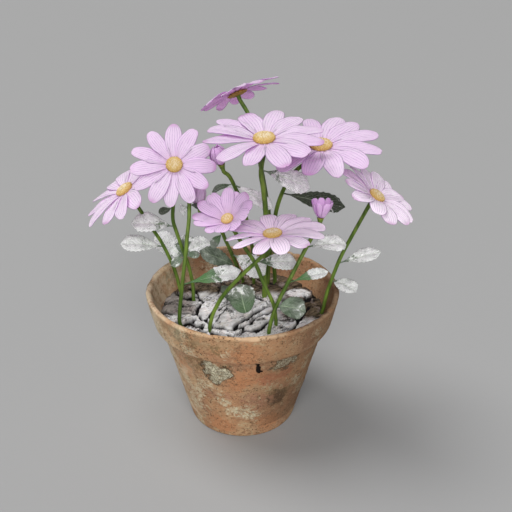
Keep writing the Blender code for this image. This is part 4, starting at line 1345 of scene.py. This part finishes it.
def build_leaf(number, leaf, material):
    stem, place, tip, width, face, arch, frost_base, frost_tip = leaf
    order = number - 1
    chance = chances("leaf", order)
    tip, face = np.array(tip), np.array(face, float)
    base = leaf_root(stem, place, tip)
    length = np.linalg.norm(tip - base)
    out = (tip - base) / length
    up = unit(face - out * out.dot(face))
    turn = np.linspace(0, np.pi / 2, LEAF_TIP_ROWS)
    t = np.concatenate([np.linspace(0, LEAF_TIP, LEAF_ROWS - LEAF_TIP_ROWS, endpoint=False),
                        LEAF_TIP + (1 - LEAF_TIP) * np.sin(turn)])
    left, right = leaf_widths(t, chance, ROUND_FOOT.get(number, USUAL_FOOT))
    u = np.linspace(-1, 1, LEAF_ACROSS)
    lateral = u * (np.where(u < 0, left[:, None], right[:, None]) * width / 2)
    ts = np.repeat(t[:, None], LEAF_ACROSS, 1)
    height, sway = leaf_relief(chance, order, length, arch, ts, u, lateral)
    round_tip = 1 - 0.045 * u**2 * smoothstep(0.8, 1, ts)
    points = laid_out(base, (ts * round_tip * length, out), (lateral + sway, np.cross(up, out)), (height, up))
    v = ts.ravel()
    frost = frost_base + (frost_tip - frost_base) * smoothstep(0.3, 0.75, v)
    frost = frost * smoothstep(0.05, 0.22, v)
    vivid = VIVID.get(number, USUAL_VIVID) * smoothstep(0.75, 0.3, v)
    shape = Shape("frost", "vivid", "deep", "seed")
    shape.add(points, grid_faces(*ts.shape)[:, ::-1], grid_uv((u + 1) / 2, t), frost=frost, vivid=vivid,
              deep=DEEP.get(number, 0), seed=order * 0.37)
    obj = shape.build(f"leaf_{number:02d}_blade", material, "leaf", f"leaf_{number:02d}")
    thicken(obj, LEAF_THICKNESS)


# Camera, light and floor

CAMERA_PLACE = (0.0, -0.40943, 0.333214)
CAMERA_RIGHT = (0.9998, -0.0182, 0.0090)
CAMERA_AHEAD = (0.0203, 0.8958, -0.4440)
LENS = 45.0
SENSOR = 36.0
FLOOR_REACH = 30.0
WORLD_STRENGTH = 0.12
# Each sun: the way to it, its strength, and how many degrees it spans, which softens its shadows
SUNS = {
    "front_key": ((0.0, -0.855, 0.56), 2.52, 50.0),
    "top_light": ((-0.38, 0.14, 1.0), 2.0, 33.0),
}


def build_camera():
    data = bpy.data.cameras.new("camera")
    data.lens = LENS
    data.sensor_width = SENSOR
    data.clip_start = 0.01
    data.clip_end = 60.0
    obj = add_object("camera", data)
    ahead = Vector(CAMERA_AHEAD).normalized()
    right = (Vector(CAMERA_RIGHT) - ahead * ahead.dot(Vector(CAMERA_RIGHT))).normalized()
    turn = Matrix((right, right.cross(ahead), -ahead)).transposed().to_4x4()
    obj.matrix_world = Matrix.Translation(CAMERA_PLACE) @ turn
    bpy.context.scene.camera = obj


def add_sun(name, direction, strength, angle):
    data = bpy.data.lights.new(name, "SUN")
    data.energy = strength
    data.angle = math.radians(angle)
    obj = add_object(name, data)
    obj.rotation_mode = "QUATERNION"
    obj.rotation_quaternion = Vector(direction).to_track_quat("Z", "Y")


def build_stage():
    look = Look("floor", 0.75, Specular_IOR_Level=0.2)
    look.paint = look.mix(look.noise(3, 2) * 0.08, (160, 160, 160), (156, 156, 156))
    mesh = bpy.data.meshes.new("floor")
    corners = [(x * FLOOR_REACH, y * FLOOR_REACH, 0) for x, y in ((-1, -1), (1, -1), (1, 1), (-1, 1))]
    mesh.from_pydata(corners, [], [(0, 1, 2, 3)])
    mesh.materials.append(look.done())
    floor = add_object("floor", mesh)
    world = bpy.data.worlds.new("studio")
    world.use_nodes = True
    background = world.node_tree.nodes["Background"]
    background.inputs["Color"].default_value = (1.0, 1.0, 1.0, 1.0)
    background.inputs["Strength"].default_value = WORLD_STRENGTH
    bpy.context.scene.world = world
    for name, sun in SUNS.items():
        add_sun(name, *sun)
    bpy.context.scene.view_settings.view_transform = "Standard"


def dress():
    # The last number of each is how strongly painted shade darkens the petals' edges
    petal_top = petal_look(
        "petal_top", (222, 200, 224), (205, 163, 210), (128, 82, 152), (166, 90, 160), 0.95, 0.6)
    petal_under = petal_look(
        "petal_under", (255, 194, 255), (228, 142, 236), (146, 76, 156), (130, 50, 120), 0.6, 0.7)
    bud_outside = petal_look(
        "bud_outside", (252, 206, 255), (216, 150, 228), (138, 78, 150), (120, 50, 110), 0.6, 0.75)
    disc, stem, leaf = disc_look(), stem_look(), leaf_look()
    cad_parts["potting_soil"].data.materials.clear()
    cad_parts["potting_soil"].data.materials.append(soil_look())
    build_pot(pot_look())
    build_bark(bark_look())
    for order, (name, flower) in enumerate(FLOWERS.items()):
        build_petals(name, flower, petal_top, petal_under, order)
        build_disc(name, flower, disc, order)
    for order, (name, bud) in enumerate(BUDS.items()):
        build_bud(name, bud, bud_outside, order)
    for order, (name, path) in enumerate(STEMS.items()):
        build_stem(name, path, stem, order)
    for number, parts in enumerate(LEAVES, 1):
        build_leaf(number, parts, leaf)


dress()
build_stage()
build_camera()
